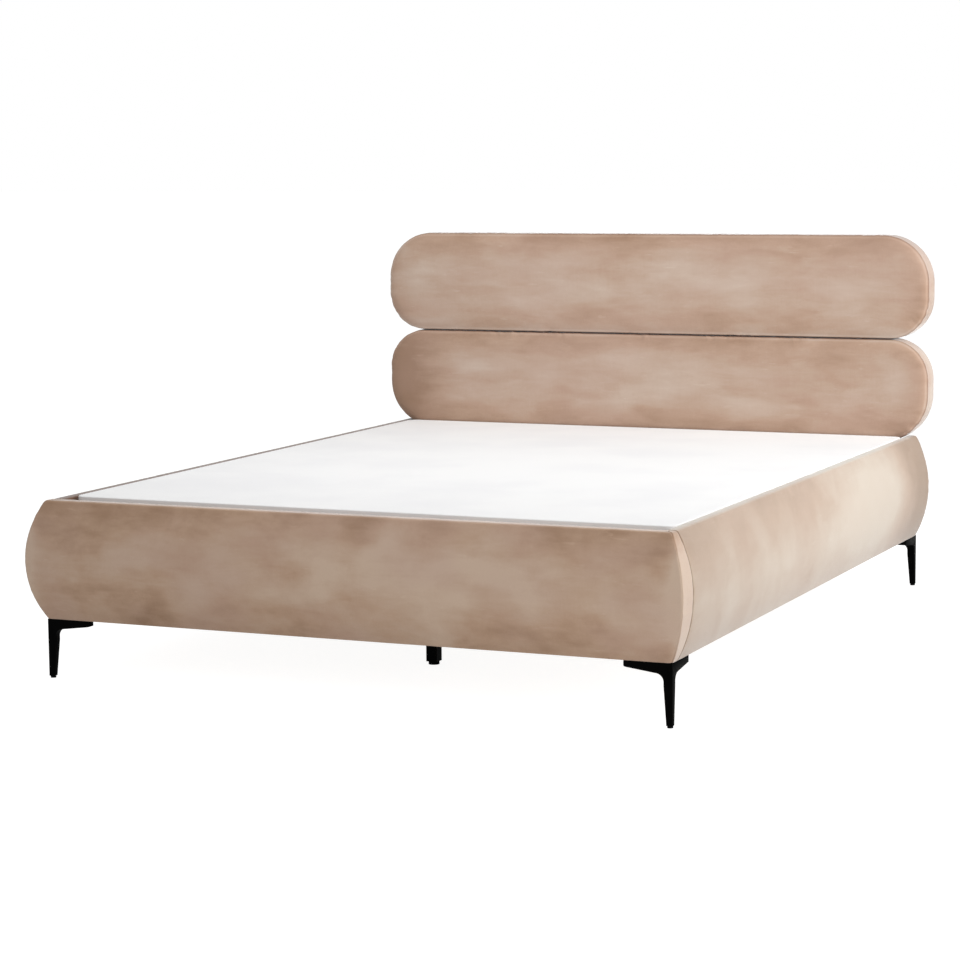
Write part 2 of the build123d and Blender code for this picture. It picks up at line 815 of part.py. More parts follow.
def leg_glides():
    """Plastic glides under the four corner legs."""
    x = corner_half_width - leg_column_foot_width / 2
    ends = (foot_y + leg_column_foot_width / 2, rail_rear_y - leg_column_foot_width / 2)
    return Compound([Pos(side * x, y, glide_height / 2) * Cylinder(glide_radius, glide_height)
                     for side in (left, right) for y in ends])


# Mattress

def mattress_form(inset):
    """The mattress's block with rounded upright corners and softened edges."""
    plan = Rectangle(mattress_width - 2 * inset, mattress_length - 2 * inset)
    plan = fillet(plan.vertices(), mattress_corner_radius - inset)
    body = extrude(plan, amount=mattress_thickness - 2 * inset)
    flat_faces = body.faces().sort_by(Axis.Z)
    rim = flat_faces[0].edges() + flat_faces[-1].edges()
    body = fillet(rim, mattress_edge_radius - inset)
    return Pos(0, mattress_front_y + mattress_length / 2, mattress_bottom + inset) * body


def mattress_core():
    return mattress_form(mattress_cover_thickness + mattress_core_ease)


def mattress_cover():
    return mattress_form(0) - mattress_form(mattress_cover_thickness)


def all_nodes():
    """Every piece under its own name."""
    nodes = {
        "side_rail_right_board": side_rail_board(),
        "side_rail_right_foam": side_rail_foam(),
        "side_rail_right_cover": side_rail_cover(),
        "side_ledger_right": side_ledger(),
        "corner_bracket_front_right": corner_bracket_front_right(),
        "corner_bracket_rear_right": corner_bracket_rear_right(),
        "corner_leg_front_right": corner_leg_front_right(),
        "corner_leg_rear_right": corner_leg_rear_right(),
    }
    for name in list(nodes):
        nodes[name.replace("right", "left")] = both_sides(nodes[name])
    nodes["footboard_board"] = footboard_board()
    nodes["footboard_foam"] = footboard_foam()
    nodes["footboard_cover"] = footboard_cover()
    nodes["head_end_board"] = head_end_board()
    for name, bolster, notches in (("lower", lower_bolster, lower_notches()),
                                   ("upper", upper_bolster, upper_notches())):
        nodes[name + "_bolster_board"] = bolster_board(bolster)
        nodes[name + "_bolster_ring"] = bolster_ring(bolster, notches)
        nodes[name + "_bolster_foam"] = bolster_foam_block(bolster, notches)
        nodes[name + "_bolster_cover"] = bolster_cover(bolster, notches)
    nodes["headboard_upright_left"] = headboard_upright(-upright_spacing / 2)
    nodes["headboard_upright_right"] = headboard_upright(upright_spacing / 2)
    nodes["headboard_lining"] = headboard_lining()
    nodes["frame_bolts"] = frame_bolts()
    nodes["wood_screws"] = wood_screws()
    nodes["leg_screws"] = leg_screws()
    nodes["leg_glides"] = leg_glides()
    nodes["centre_beam"] = centre_beam()
    nodes["beam_hanger_front"] = beam_hanger_front()
    nodes["beam_hanger_rear"] = beam_hanger_rear()
    for name, y in zip(("front", "rear"), centre_leg_places):
        nodes["centre_leg_" + name] = centre_leg(y)
        nodes["levelling_foot_" + name] = levelling_foot(y)
    nodes["centre_leg_inserts"] = centre_leg_inserts()
    for index, y in enumerate(slat_places()):
        nodes[f"slat_{index + 1:02d}"] = slat(y)
    nodes["slat_webbing"] = slat_webbing()
    nodes["mattress_core"] = mattress_core()
    nodes["mattress_cover"] = mattress_cover()
    return nodes


os.makedirs("parts", exist_ok=True)
for node, shape in all_nodes().items():
    export_step(shape, f"parts/{node}.step")
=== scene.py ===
import json
import logging
import math
from dataclasses import dataclass, field
from enum import Enum
from functools import cached_property
from typing import Callable, Iterable, Sequence

import bmesh
import bpy
import numpy as np
from mathutils import Matrix, Vector, noise


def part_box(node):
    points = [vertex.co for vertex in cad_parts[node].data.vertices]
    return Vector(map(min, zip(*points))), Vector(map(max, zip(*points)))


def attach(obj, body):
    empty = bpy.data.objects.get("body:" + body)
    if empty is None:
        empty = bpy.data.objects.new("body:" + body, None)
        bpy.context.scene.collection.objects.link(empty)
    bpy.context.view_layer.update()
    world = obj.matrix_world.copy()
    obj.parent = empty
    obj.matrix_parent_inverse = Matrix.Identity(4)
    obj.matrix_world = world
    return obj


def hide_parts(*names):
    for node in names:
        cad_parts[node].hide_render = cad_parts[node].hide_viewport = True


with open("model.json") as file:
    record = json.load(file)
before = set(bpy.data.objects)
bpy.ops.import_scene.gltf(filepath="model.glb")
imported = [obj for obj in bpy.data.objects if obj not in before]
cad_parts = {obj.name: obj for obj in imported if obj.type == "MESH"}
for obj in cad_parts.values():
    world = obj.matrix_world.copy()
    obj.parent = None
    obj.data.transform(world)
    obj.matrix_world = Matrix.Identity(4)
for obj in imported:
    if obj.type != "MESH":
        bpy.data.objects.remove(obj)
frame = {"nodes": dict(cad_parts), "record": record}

logging.basicConfig(level=logging.INFO, format="%(message)s")
log = logging.getLogger("bed")

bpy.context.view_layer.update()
MM = 0.001
Triple = tuple[float, float, float]
Groove = tuple[tuple[float, float], ...]


class Side(Enum):
    """A side of the bed, as its sign along X."""

    LEFT = -1
    RIGHT = 1


class End(Enum):
    """An end of the bed, as its sign along Y."""

    FRONT = -1
    REAR = 1


class Body(Enum):
    """The bodies that the new pieces ride on."""

    FRAME = "frame"
    MATTRESS = "mattress"


class Slot(Enum):
    """The record's material slots."""

    VELVET = "velvet"
    FOAM = "foam"
    TICKING = "mattress_ticking"
    LINING = "lining"
    WEBBING = "webbing"
    PINE = "pine"
    PLYWOOD = "plywood"
    FRAME_BOARD = "frame_board"
    CAST_METAL = "black_cast_metal"
    BLACK_STEEL = "black_steel"
    ZINC_STEEL = "zinc_steel"
    PLASTIC = "black_plastic"


class Grain(Enum):
    """Which way a timber's grain runs, as how much finer its pattern is along each axis."""

    ACROSS = (0.8, 14.0, 14.0)
    ALONG = (14.0, 0.8, 14.0)
    UP = (14.0, 14.0, 0.8)


def linear(red: int, green: int, blue: int) -> tuple[float, float, float, float]:
    """Turns a display colour into a linear one.

    Args:
        red: Red from 0 to 255.
        green: Green from 0 to 255.
        blue: Blue from 0 to 255.

    Returns:
        The linear colour with an alpha of 1.
    """
    def channel(value: int) -> float:
        """One channel in linear light.

        Args:
            value: The channel from 0 to 255.

        Returns:
            The channel from 0 to 1.
        """
        share = value / 255
        return share / 12.92 if share <= 0.04045 else ((share + 0.055) / 1.055) ** 2.4

    return (channel(red), channel(green), channel(blue), 1.0)


# A pale and a dark colour for each timber
PINE = (linear(226, 196, 148), linear(190, 148, 98))
PLYWOOD = (linear(214, 186, 146), linear(184, 150, 108))
FRAME_BOARD = (linear(206, 176, 134), linear(170, 134, 92))


# Shader maths


class Sock:
    """A shader socket that can be used in Python expressions."""

    def __init__(self, tree: "ShaderTree", socket: bpy.types.NodeSocket) -> None:
        """Keeps the socket and the tree that it is in."""
        self.tree = tree
        self.socket = socket

    def _math(self, operation: str, first: "Sock | float", second: "Sock | float") -> "Sock":
        """Adds a Math node.

        Args:
            operation: The node's operation.
            first: Its first value or link.
            second: Its second value or link.

        Returns:
            The node's result.
        """
        return self.tree.node("ShaderNodeMath", {"operation": operation}, {0: first, 1: second}).out()

    def __add__(self, other: "Sock | float") -> "Sock":
        """self + other"""
        return self._math("ADD", self, other)

    def __radd__(self, other: float) -> "Sock":
        """other + self"""
        return self._math("ADD", other, self)

    def __sub__(self, other: "Sock | float") -> "Sock":
        """self - other"""
        return self._math("SUBTRACT", self, other)

    def __rsub__(self, other: float) -> "Sock":
        """other - self"""
        return self._math("SUBTRACT", other, self)

    def __mul__(self, other: "Sock | float") -> "Sock":
        """self * other"""
        return self._math("MULTIPLY", self, other)

    def smooth(self, low: float, high: float) -> "Sock":
        """A smooth step.

        Args:
            low: Where it starts to rise from 0.
            high: Where it reaches 1.

        Returns:
            The step's value.
        """
        settings = {"interpolation_type": "SMOOTHSTEP"}
        values = {"Value": self, "From Min": low, "From Max": high}
        return self.tree.node("ShaderNodeMapRange", settings, values).out("Result")


class Node:
    """A shader node whose outputs are read as sockets."""

    def __init__(self, tree: "ShaderTree", node: bpy.types.Node) -> None:
        """Keeps the node and the tree that it is in."""
        self.tree = tree
        self.node = node

    def out(self, name: str | int = 0) -> Sock:
        """Finds one output.

        Args:
            name: Its name or number.

        Returns:
            The output.
        """
        return Sock(self.tree, self.node.outputs[name])


class ShaderTree:
    """A material or world under construction."""

    def __init__(self, name: str, world: bool = False) -> None:
        """Makes an empty material or world.

        Args:
            name: Its name.
            world: Whether it is a world.
        """
        self.holder = bpy.data.worlds.new(name) if world else bpy.data.materials.new(name)
        self.holder.use_nodes = True
        self.holder.node_tree.nodes.clear()

    @cached_property
    def coords(self) -> Sock:
        """Object coordinates."""
        return self.node("ShaderNodeTexCoord").out("Object")

    def node(self, kind: str, settings: dict | None = None, values: dict | None = None) -> Node:
        """Adds one node.

        Args:
            kind: The node's type.
            settings: Its properties, set first. A ramp's stops are a list of (place, colour).
            values: Values or links of its sockets, by name or number.

        Returns:
            The new node.
        """
        made = self.holder.node_tree.nodes.new(kind)
        for key, value in (settings or {}).items():
            if key == "stops":
                self._set_stops(made, value)
            else:
                setattr(made, key, value)
        for key, value in (values or {}).items():
            if isinstance(value, Sock):
                self.holder.node_tree.links.new(value.socket, made.inputs[key])
            else:
                made.inputs[key].default_value = value
        return Node(self, made)

    @staticmethod
    def _set_stops(ramp: bpy.types.Node, stops: Sequence[tuple]) -> None:
        """Sets a colour ramp's stops.

        Args:
            ramp: The ramp node.
            stops: Places and colours, from low to high.
        """
        elements = ramp.color_ramp.elements
        while len(elements) < len(stops):
            elements.new(1.0)
        for element, (place, colour) in zip(elements, stops):
            element.position = place
            element.color = colour

    def mix(self, factor: Sock | float, first: Sock | tuple, second: Sock | tuple, how: str = "MIX") -> Sock:
        """Mixes two colours.

        Args:
            factor: How much of the second colour shows.
            first: The first colour.
            second: The second colour.
            how: The blend type.

        Returns:
            The mixed colour.
        """
        settings = {"data_type": "RGBA", "blend_type": how}
        return self.node("ShaderNodeMix", settings, {0: factor, 6: first, 7: second}).out(2)

    def scaled(self, scale: Triple, turn: Triple = (0, 0, 0)) -> Sock:
        """Object coordinates, stretched and turned.

        Args:
            scale: The scale along each axis.
            turn: The turn about each axis in radians.

        Returns:
            The coordinates.
        """
        values = {"Vector": self.coords, "Scale": scale, "Rotation": turn}
        return self.node("ShaderNodeMapping", None, values).out()

    def noise(self, scale: float, place: Sock | None = None, detail: float = 3, rough: float = 0.55,
              bend: float = 0.0) -> Sock:
        """Fractal noise from 0 to 1.

        Args:
            scale: Features per metre.
            place: The coordinates, or the object's own.
            detail: Octaves.
            rough: How strong the fine octaves are.
            bend: Distortion.

        Returns:
            The noise value.
        """
        values = {"Vector": place or self.coords, "Scale": scale, "Detail": detail,
                  "Roughness": rough, "Distortion": bend}
        return self.node("ShaderNodeTexNoise", None, values).out(0)

    def bump(self, height: Sock, distance: float, strength: float = 1.0, below: Sock | None = None) -> Sock:
        """A bump from a height.

        Args:
            height: The height, from 0 to 1.
            distance: The height of 1 in metres.
            strength: The strength.
            below: A normal that this one is laid on.

        Returns:
            The normal.
        """
        values = {"Height": height, "Distance": distance, "Strength": strength}
        if below is not None:
            values["Normal"] = below
        return self.node("ShaderNodeBump", None, values).out()

    def backdrop_rays(self) -> Sock:
        """Which rays see the white backdrop.

        Returns:
            1 for camera, glossy and transmission rays, 0 for the others.
        """
        path = self.node("ShaderNodeLightPath")
        rays = path.out("Is Camera Ray") + path.out("Is Glossy Ray") + path.out("Is Transmission Ray")
        return self.node("ShaderNodeMath", {"operation": "MINIMUM"}, {0: rays, 1: 1.0}).out()

    def finish(self, values: dict) -> bpy.types.Material:
        """Ends the tree with its main shader.

        Args:
            values: The shader's socket values and links.

        Returns:
            The material.
        """
        shader = self.node("ShaderNodeBsdfPrincipled", None, values)
        self.node("ShaderNodeOutputMaterial", None, {"Surface": shader.out()})
        return self.holder


# Finishes


@dataclass(frozen=True)
class Velvet:
    """Short-pile upholstery velvet with nap patches brushed lighter and darker.

    The mesh's attribute "band" holds painted light and shade, lighter where light falls and darker in
    shade, and "seam_shade" holds painted shade in seams, gaps and along the left rail's top.
    """

    name: str = "velvet"
    light: tuple = linear(205, 186, 171)
    middle: tuple = linear(187, 158, 138)
    dark: tuple = linear(160, 129, 107)
    blush: tuple = linear(194, 164, 150)
    # The colour of the painted shade in seams, gaps and along the left rail's top
    crease: tuple = linear(98, 62, 43)
    drawn: Triple = (0.55, 0.55, 1.35)
    patch_scale: float = 3.2
    wide: float = 0.26
    clouds: float = 0.56
    streaks: float = 0.30
    blush_share: float = 0.22
    brush: float = 0.4
    tone_shift: float = 0.0
    # How far the painted light and shade in band shifts the tone
    painted_light_strength: float = 0.24
    pile: float = 1150.0
    speckle: float = 0.16
    # How much of the painted shade colour shows where seam_shade is full
    painted_shade_share: float = 0.95
    sheen: float = 0.85
    sheen_roughness: float = 0.36
    sheen_tint: tuple = (0.93, 0.98, 1.0, 1.0)

    def build(self) -> bpy.types.Material:
        """Makes the material.

        Returns:
            The velvet.
        """
        tree = ShaderTree(self.name)
        nap = self._nap(tree)
        # Painted light and shade: band makes the tone lighter where light falls and darker where shade lies
        band = tree.node("ShaderNodeAttribute", {"attribute_name": "band"}).out("Fac")
        tone = nap + (band - 0.5) * self.painted_light_strength + self.tone_shift
        stops = [(0.20, self.dark), (0.50, self.middle), (0.82, self.light)]
        colour = tree.node("ShaderNodeValToRGB", {"stops": stops}, {0: tone}).out("Color")
        warmth = tree.noise(4.6, tree.scaled(self.drawn, (0.0, 0.0, 0.7)), detail=2).smooth(0.40, 0.66)
        colour = tree.mix(warmth * self.blush_share, colour, self.blush)
        pile = tree.noise(self.pile, detail=2, rough=0.7)
        speckle = tree.node("ShaderNodeValToRGB", {"stops": [
            (0.32, (0.22, 0.22, 0.22, 1)), (0.68, (0.80, 0.80, 0.80, 1))]}, {0: pile}).out("Color")
        colour = tree.mix(self.speckle, colour, speckle, "OVERLAY")
        # Painted shade: seams, gaps and the left rail's top take the crease colour
        shade = tree.node("ShaderNodeAttribute", {"attribute_name": "seam_shade"}).out("Fac")
        colour = tree.mix(shade * self.painted_shade_share, colour, self.crease)
        brushed = tree.noise(30.0, tree.scaled((1.0, 1.0, 0.4)), detail=4, rough=0.6, bend=0.8)
        normal = tree.bump(brushed, 0.0012, self.brush)
        normal = tree.bump(pile, 0.00025, 0.5, normal)
        return tree.finish({
            "Base Color": colour, "Roughness": 0.80 + nap * 0.14, "Normal": normal,
            "Specular IOR Level": 0.15, "Sheen Weight": self.sheen,
            "Sheen Roughness": self.sheen_roughness, "Sheen Tint": self.sheen_tint,
        })

    def _nap(self, tree: ShaderTree) -> Sock:
        """The tone of the pile: wide clouds, soft-edged patches, short light ticks and an upright grain.

        Args:
            tree: The material.

        Returns:
            A value round 0.5.
        """
        drawn = tree.scaled(self.drawn)
        wide = tree.noise(self.patch_scale, drawn, detail=2, rough=0.45, bend=0.2)
        clouds = tree.noise(self.patch_scale * 2.7, drawn, detail=3, rough=0.5, bend=0.3)
        patches = tree.noise(7.0, tree.scaled(self.drawn, (0.12, 0.08, 0.3)), detail=4, rough=0.5, bend=0.35)
        edged = patches.smooth(0.45, 0.58)
        level = tree.scaled((0.6, 0.6, 3.2), (0.05, 0.1, 0.1))
        ticks = tree.noise(30.0, level, detail=3, rough=0.6, bend=0.4).smooth(0.64, 0.74)
        swept = tree.scaled((0.35, 0.35, 1.5), (0.0, 0.04, 0.0))
        streaks = tree.noise(26.0, swept, detail=4, rough=0.62, bend=0.3)
        grain = tree.noise(230.0, tree.scaled((1.0, 1.0, 0.09)), detail=2, rough=0.6)
        nap = 0.5 + (wide - 0.5) * self.wide + (clouds - 0.5) * self.clouds + (edged - 0.5) * 0.07
        return nap + (streaks - 0.5) * self.streaks + ticks * 0.10 + (grain - 0.5) * 0.07


@dataclass(frozen=True)
class Ticking:
    """Plain white knitted mattress fabric."""

    name: str = "ticking"
    colour: tuple = linear(249, 249, 249)
    shade: tuple = linear(244, 244, 245)
    knit: float = 520.0

    def build(self) -> bpy.types.Material:
        """Makes the material.

        Returns:
            The ticking.
        """
        tree = ShaderTree(self.name)
        clouds = tree.noise(3.0, detail=3).smooth(0.35, 0.7)
        colour = tree.mix(clouds, self.colour, self.shade)
        weave = {"wave_type": "BANDS", "bands_direction": "DIAGONAL"}
        rib = tree.node("ShaderNodeTexWave", weave, {
            "Vector": tree.coords, "Scale": self.knit, "Distortion": 0.6, "Detail": 1.0}).out("Fac")
        loops = tree.noise(self.knit * 1.6, detail=1)
        normal = tree.bump(rib * 0.6 + loops * 0.4, 0.0002, 0.35)
        normal = tree.bump(tree.noise(34.0, detail=3), 0.0007, 0.35, normal)
        return tree.finish({"Base Color": colour, "Roughness": 0.86 + loops * 0.1, "Normal": normal,
                            "Specular IOR Level": 0.2, "Sheen Weight": 0.08})


@dataclass(frozen=True)
class Fleece:
    """A matte non-woven or woven cloth in one colour, such as lining or webbing."""

    name: str
    colour: tuple
    shade: tuple
    grain: float = 420.0
    ribbed: bool = False

    def build(self) -> bpy.types.Material:
        """Makes the material.

        Returns:
            The cloth.
        """
        tree = ShaderTree(self.name)
        fibres = tree.noise(self.grain, tree.scaled((1, 1, 2.2), (0, 0.6, 0.3)), detail=4, rough=0.7)
        clouds = tree.noise(14.0, detail=3)
        colour = tree.mix((fibres * 0.6 + clouds * 0.4).smooth(0.35, 0.65), self.shade, self.colour)
        height = fibres
        if self.ribbed:
            settings = {"wave_type": "BANDS", "bands_direction": "Y"}
            values = {"Vector": tree.coords, "Scale": 130.0}
            ribs = tree.node("ShaderNodeTexWave", settings, values).out("Fac")
            height = fibres * 0.3 + ribs * 0.7
        return tree.finish({"Base Color": colour, "Roughness": 0.9, "Specular IOR Level": 0.2,
                            "Normal": tree.bump(height, 0.0003, 0.6)})


@dataclass(frozen=True)
class Timber:
    """Planed wood with straight grain along one axis, and knots if it is solid wood."""

    name: str
    pale: tuple
    dark: tuple
    grain: Grain
    knots: bool = True

    def build(self) -> bpy.types.Material:
        """Makes the material.

        Returns:
            The wood.
        """
        tree = ShaderTree(self.name)
        along = tree.scaled(self.grain.value)
        swirl = tree.noise(1.3, along, detail=3, bend=0.9)
        rings = tree.node("ShaderNodeTexWave", {"wave_type": "BANDS", "bands_direction": "DIAGONAL"}, {
            "Vector": along, "Scale": 2.4, "Distortion": 9.0, "Detail": 3.0, "Detail Scale": 1.4}).out("Fac")
        fine = tree.noise(16.0, along, detail=5, rough=0.65)
        tone = rings * 0.42 + swirl * 0.33 + fine * 0.30
        colour = tree.node("ShaderNodeValToRGB", {"stops": [
            (0.28, self.pale), (0.52, tuple(0.5 * (a + b) for a, b in zip(self.pale, self.dark))),
            (0.80, self.dark)]}, {0: tone}).out("Color")
        if self.knots:
            spots = tree.node("ShaderNodeTexVoronoi", {"feature": "F1"}, {
                "Vector": tree.scaled((2.2, 2.2, 2.2)), "Scale": 1.6, "Randomness": 1.0}).out("Distance")
            knot = 1.0 - spots.smooth(0.03, 0.085)
            colour = tree.mix(knot * 0.75, colour, linear(112, 70, 38))
        normal = tree.bump(fine, 0.0002, 0.3)
        return tree.finish({"Base Color": colour, "Roughness": 0.52 + fine * 0.22, "Normal": normal})


@dataclass(frozen=True)
class PaintedMetal:
    """Powder-coated or moulded black surface with a faint texture."""

    name: str
    colour: tuple = linear(4, 4, 4)
    worn: tuple = linear(9, 9, 10)
    roughness: float = 0.38
    texture: float = 900.0
    depth: float = 0.00006
    ior: float = 1.03
    coat: float = 0.02
    coat_roughness: float = 0.14

    def build(self) -> bpy.types.Material:
        """Makes the material.

        Returns:
            The black finish.
        """
        tree = ShaderTree(self.name)
        peel = tree.noise(self.texture, detail=2)
        smears = tree.noise(22.0, detail=4, rough=0.6).smooth(0.45, 0.75)
        colour = tree.mix(smears * 0.5, self.colour, self.worn)
        rough = self.roughness + smears * 0.10 + peel * 0.05
        return tree.finish({"Base Color": colour, "Roughness": rough, "IOR": self.ior,
                            "Coat Weight": self.coat, "Coat Roughness": self.coat_roughness,
                            "Normal": tree.bump(peel, self.depth, 0.5)})


@dataclass(frozen=True)
class ZincSteel:
    """Bright zinc-plated steel with a soft mottling."""

    name: str = "zinc_steel"
    bright: tuple = linear(206, 208, 206)
    dull: tuple = linear(164, 168, 168)

    def build(self) -> bpy.types.Material:
        """Makes the material.

        Returns:
            The steel.
        """
        tree = ShaderTree(self.name)
        cells = tree.node("ShaderNodeTexVoronoi", {"feature": "F1"}, {
            "Vector": tree.coords, "Scale": 160.0}).out("Color")
        flow = tree.noise(60.0, detail=4)
        colour = tree.mix(flow, self.bright, self.dull)
        colour = tree.mix(0.12, colour, cells, "SOFT_LIGHT")
        return tree.finish({"Base Color": colour, "Metallic": 1.0, "Roughness": 0.30 + flow * 0.18,
                            "Normal": tree.bump(flow, 0.00008, 0.4)})


@dataclass(frozen=True)
class OpenFoam:
    """Cut upholstery foam with open cells."""

    name: str = "foam"
    colour: tuple = linear(240, 232, 205)
    shade: tuple = linear(214, 200, 164)

    def build(self) -> bpy.types.Material:
        """Makes the material.

        Returns:
            The foam.
        """
        tree = ShaderTree(self.name)
        cells = tree.node("ShaderNodeTexVoronoi", {"feature": "SMOOTH_F1"}, {
            "Vector": tree.coords, "Scale": 620.0}).out("Distance")
        clouds = tree.noise(11.0, detail=3)
        colour = tree.mix(cells.smooth(0.1, 0.5) * 0.5 + clouds * 0.3, self.colour, self.shade)
        return tree.finish({"Base Color": colour, "Roughness": 0.95, "Specular IOR Level": 0.1,
                            "Normal": tree.bump(cells, 0.0006, 0.7)})


# Cloth and meshes


def add_attribute(mesh: bpy.types.Mesh, name: str, values: np.ndarray) -> None:
    """Stores one number for each point of a mesh.

    Args:
        mesh: The mesh.
        name: The attribute's name.
        values: One value for each point.
    """
    layer = mesh.attributes.new(name, "FLOAT", "POINT")
    layer.data.foreach_set("value", np.asarray(values, np.float32))


def read_attribute(mesh: bpy.types.Mesh, name: str) -> np.ndarray:
    """Reads one number for each point of a mesh.

    Args:
        mesh: The mesh.
        name: The attribute's name.

    Returns:
        The values.
    """
    values = np.zeros(len(mesh.vertices), np.float32)
    mesh.attributes[name].data.foreach_get("value", values)
    return values.astype(float)


def points_of(mesh: bpy.types.Mesh) -> np.ndarray:
    """A mesh's points.

    Args:
        mesh: The mesh.

    Returns:
        An array with a row for each point.
    """
    flat = np.zeros(len(mesh.vertices) * 3, np.float32)
    mesh.vertices.foreach_get("co", flat)
    return flat.reshape(-1, 3).astype(float)


def normals_of(mesh: bpy.types.Mesh) -> np.ndarray:
    """A mesh's point normals.

    Args:
        mesh: The mesh.

    Returns:
        An array with a row for each point.
    """
    flat = np.zeros(len(mesh.vertices) * 3, np.float32)
    mesh.vertex_normals.foreach_get("vector", flat)
    return flat.reshape(-1, 3).astype(float)


def set_points(mesh: bpy.types.Mesh, points: np.ndarray) -> None:
    """Moves a mesh's points.

    Args:
        mesh: The mesh.
        points: A row for each point.
    """
    mesh.vertices.foreach_set("co", points.astype(np.float32).ravel())
    mesh.update()


def new_object(name: str, mesh: bpy.types.Mesh) -> bpy.types.Object:
    """Puts a mesh into the scene.

    Args:
        name: The object's name.
        mesh: Its mesh.

    Returns:
        The object.
    """
    made = bpy.data.objects.new(name, mesh)
    bpy.context.scene.collection.objects.link(made)
    return made


def mesh_from(name: str, points: np.ndarray, faces: list) -> bpy.types.Mesh:
    """Makes a smooth-shaded mesh.

    Args:
        name: The mesh's name.
        points: A row for each point.
        faces: Point numbers of each face.

    Returns:
        The mesh.
    """
    mesh = bpy.data.meshes.new(name)
    mesh.from_pydata([tuple(p) for p in points], [], faces)
    mesh.validate()
    mesh.shade_smooth()
    return mesh


def face_outwards(mesh: bpy.types.Mesh) -> None:
    """Turns a closed mesh's faces outwards.

    Args:
        mesh: The mesh.
    """
    work = bmesh.new()
    work.from_mesh(mesh)
    bmesh.ops.recalc_face_normals(work, faces=work.faces)
    work.to_mesh(mesh)
    work.free()


def divide_caps(mesh: bpy.types.Mesh) -> None:
    """Divides a mesh's many-sided end faces into triangles and keeps their outlines sharp.

    Args:
        mesh: The mesh.
    """
    work = bmesh.new()
    work.from_mesh(mesh)
    crease = work.edges.layers.float.new("crease_edge")
    caps = [face for face in work.faces if len(face.verts) > 4]
    for cap in caps:
        for edge in cap.edges:
            edge[crease] = 1.0
    bmesh.ops.triangulate(work, faces=caps)
    work.to_mesh(mesh)
    work.free()


def subdivide(piece: bpy.types.Object) -> None:
    """Applies a subdivision surface that divides the faces once.

    Args:
        piece: The object.
    """
    modifier = piece.modifiers.new("subdivision", "SUBSURF")
    modifier.levels = 1
    modifier.render_levels = 1
    apply_modifiers(piece)


def apply_modifiers(piece: bpy.types.Object) -> None:
    """Turns what an object's modifiers make into its plain mesh.

    Args:
        piece: The object.
    """
    evaluated = piece.evaluated_get(bpy.context.evaluated_depsgraph_get())
    mesh = bpy.data.meshes.new_from_object(evaluated)
    piece.modifiers.clear()
    piece.data = mesh


def wave(points: np.ndarray, size: float, seed: float) -> np.ndarray:
    """Smooth noise at each point.

    Args:
        points: A row for each point, in metres.
        size: The width of its features in metres.
        seed: Moves the pattern.

    Returns:
        Values from about -1 to 1.
    """
    shift = Vector((seed, seed * 1.7, seed * 0.6))
    scale = 1 / size
    return np.array([noise.noise(Vector(p) * scale + shift) for p in points])


@dataclass
class Drape:
    """Cloth simulation of a padded cover that is held at its seams."""

    pressure: float = 4.0
    frames: int = 20
    spare: float = 0.012
    cap: float = 4.0 * MM
    stiffness: float = 12.0
    bending: float = 1.2
    cloth_mass: float = 0.25
    quality: int = 4
    easing: int = 14
    ease: float = 0.6

    def run(self, piece: bpy.types.Object, held: np.ndarray) -> None:
        """Swells the cover and leaves the result in the mesh.

        Args:
            piece: The object. Its mesh has the cover's rest shape.
            held: For each point, 1 where it is sewn or backed by wood and 0 where it is free.
        """
        rest = points_of(piece.data)
        group = piece.vertex_groups.new(name="held")
        for number in np.nonzero(held > 0.01)[0]:
            group.add([int(number)], float(held[number]), "REPLACE")
        cloth = piece.modifiers.new("cloth", "CLOTH")
        settings = cloth.settings
        settings.quality = self.quality
        settings.mass = self.cloth_mass
        settings.tension_stiffness = self.stiffness
        settings.compression_stiffness = self.stiffness
        settings.bending_stiffness = self.bending
        settings.use_pressure = True
        settings.uniform_pressure_force = self.pressure
        settings.vertex_group_mass = "held"
        settings.shrink_min = -self.spare
        settings.effector_weights.gravity = 0
        cloth.point_cache.frame_start = 1
        cloth.point_cache.frame_end = self.frames
        scene = bpy.context.scene
        for number in range(1, self.frames + 1):
            scene.frame_set(number)
        evaluated = piece.evaluated_get(bpy.context.evaluated_depsgraph_get())
        moved = points_of(evaluated.data) - rest
        piece.modifiers.clear()
        piece.vertex_groups.clear()
        scene.frame_set(1)
        moved = self._eased(piece.data, moved, held)
        length = np.linalg.norm(moved, axis=1, keepdims=True)
        capped = self.cap * np.tanh(length / self.cap) / np.maximum(length, 1e-9)
        set_points(piece.data, rest + moved * capped)

    def _eased(self, mesh: bpy.types.Mesh, moved: np.ndarray, held: np.ndarray) -> np.ndarray:
        """Eases the folds out of a movement and keeps its swell.

        Args:
            mesh: The mesh.
            moved: How far each point has moved.
            held: For each point, 1 where it stays and 0 where it is free.

        Returns:
            The eased movement.
        """
        ends = np.zeros(len(mesh.edges) * 2, np.int32)
        mesh.edges.foreach_get("vertices", ends)
        ends = ends.reshape(-1, 2)
        count = np.zeros(len(moved))
        for column in range(2):
            np.add.at(count, ends[:, column], 1)
        for _ in range(self.easing):
            total = np.zeros_like(moved)
            np.add.at(total, ends[:, 0], moved[ends[:, 1]])
            np.add.at(total, ends[:, 1], moved[ends[:, 0]])
            average = total / np.maximum(count, 1)[:, None]
            moved = (1 - self.ease) * moved + self.ease * average
            moved *= (1 - np.clip(held, 0, 1))[:, None]
        return moved


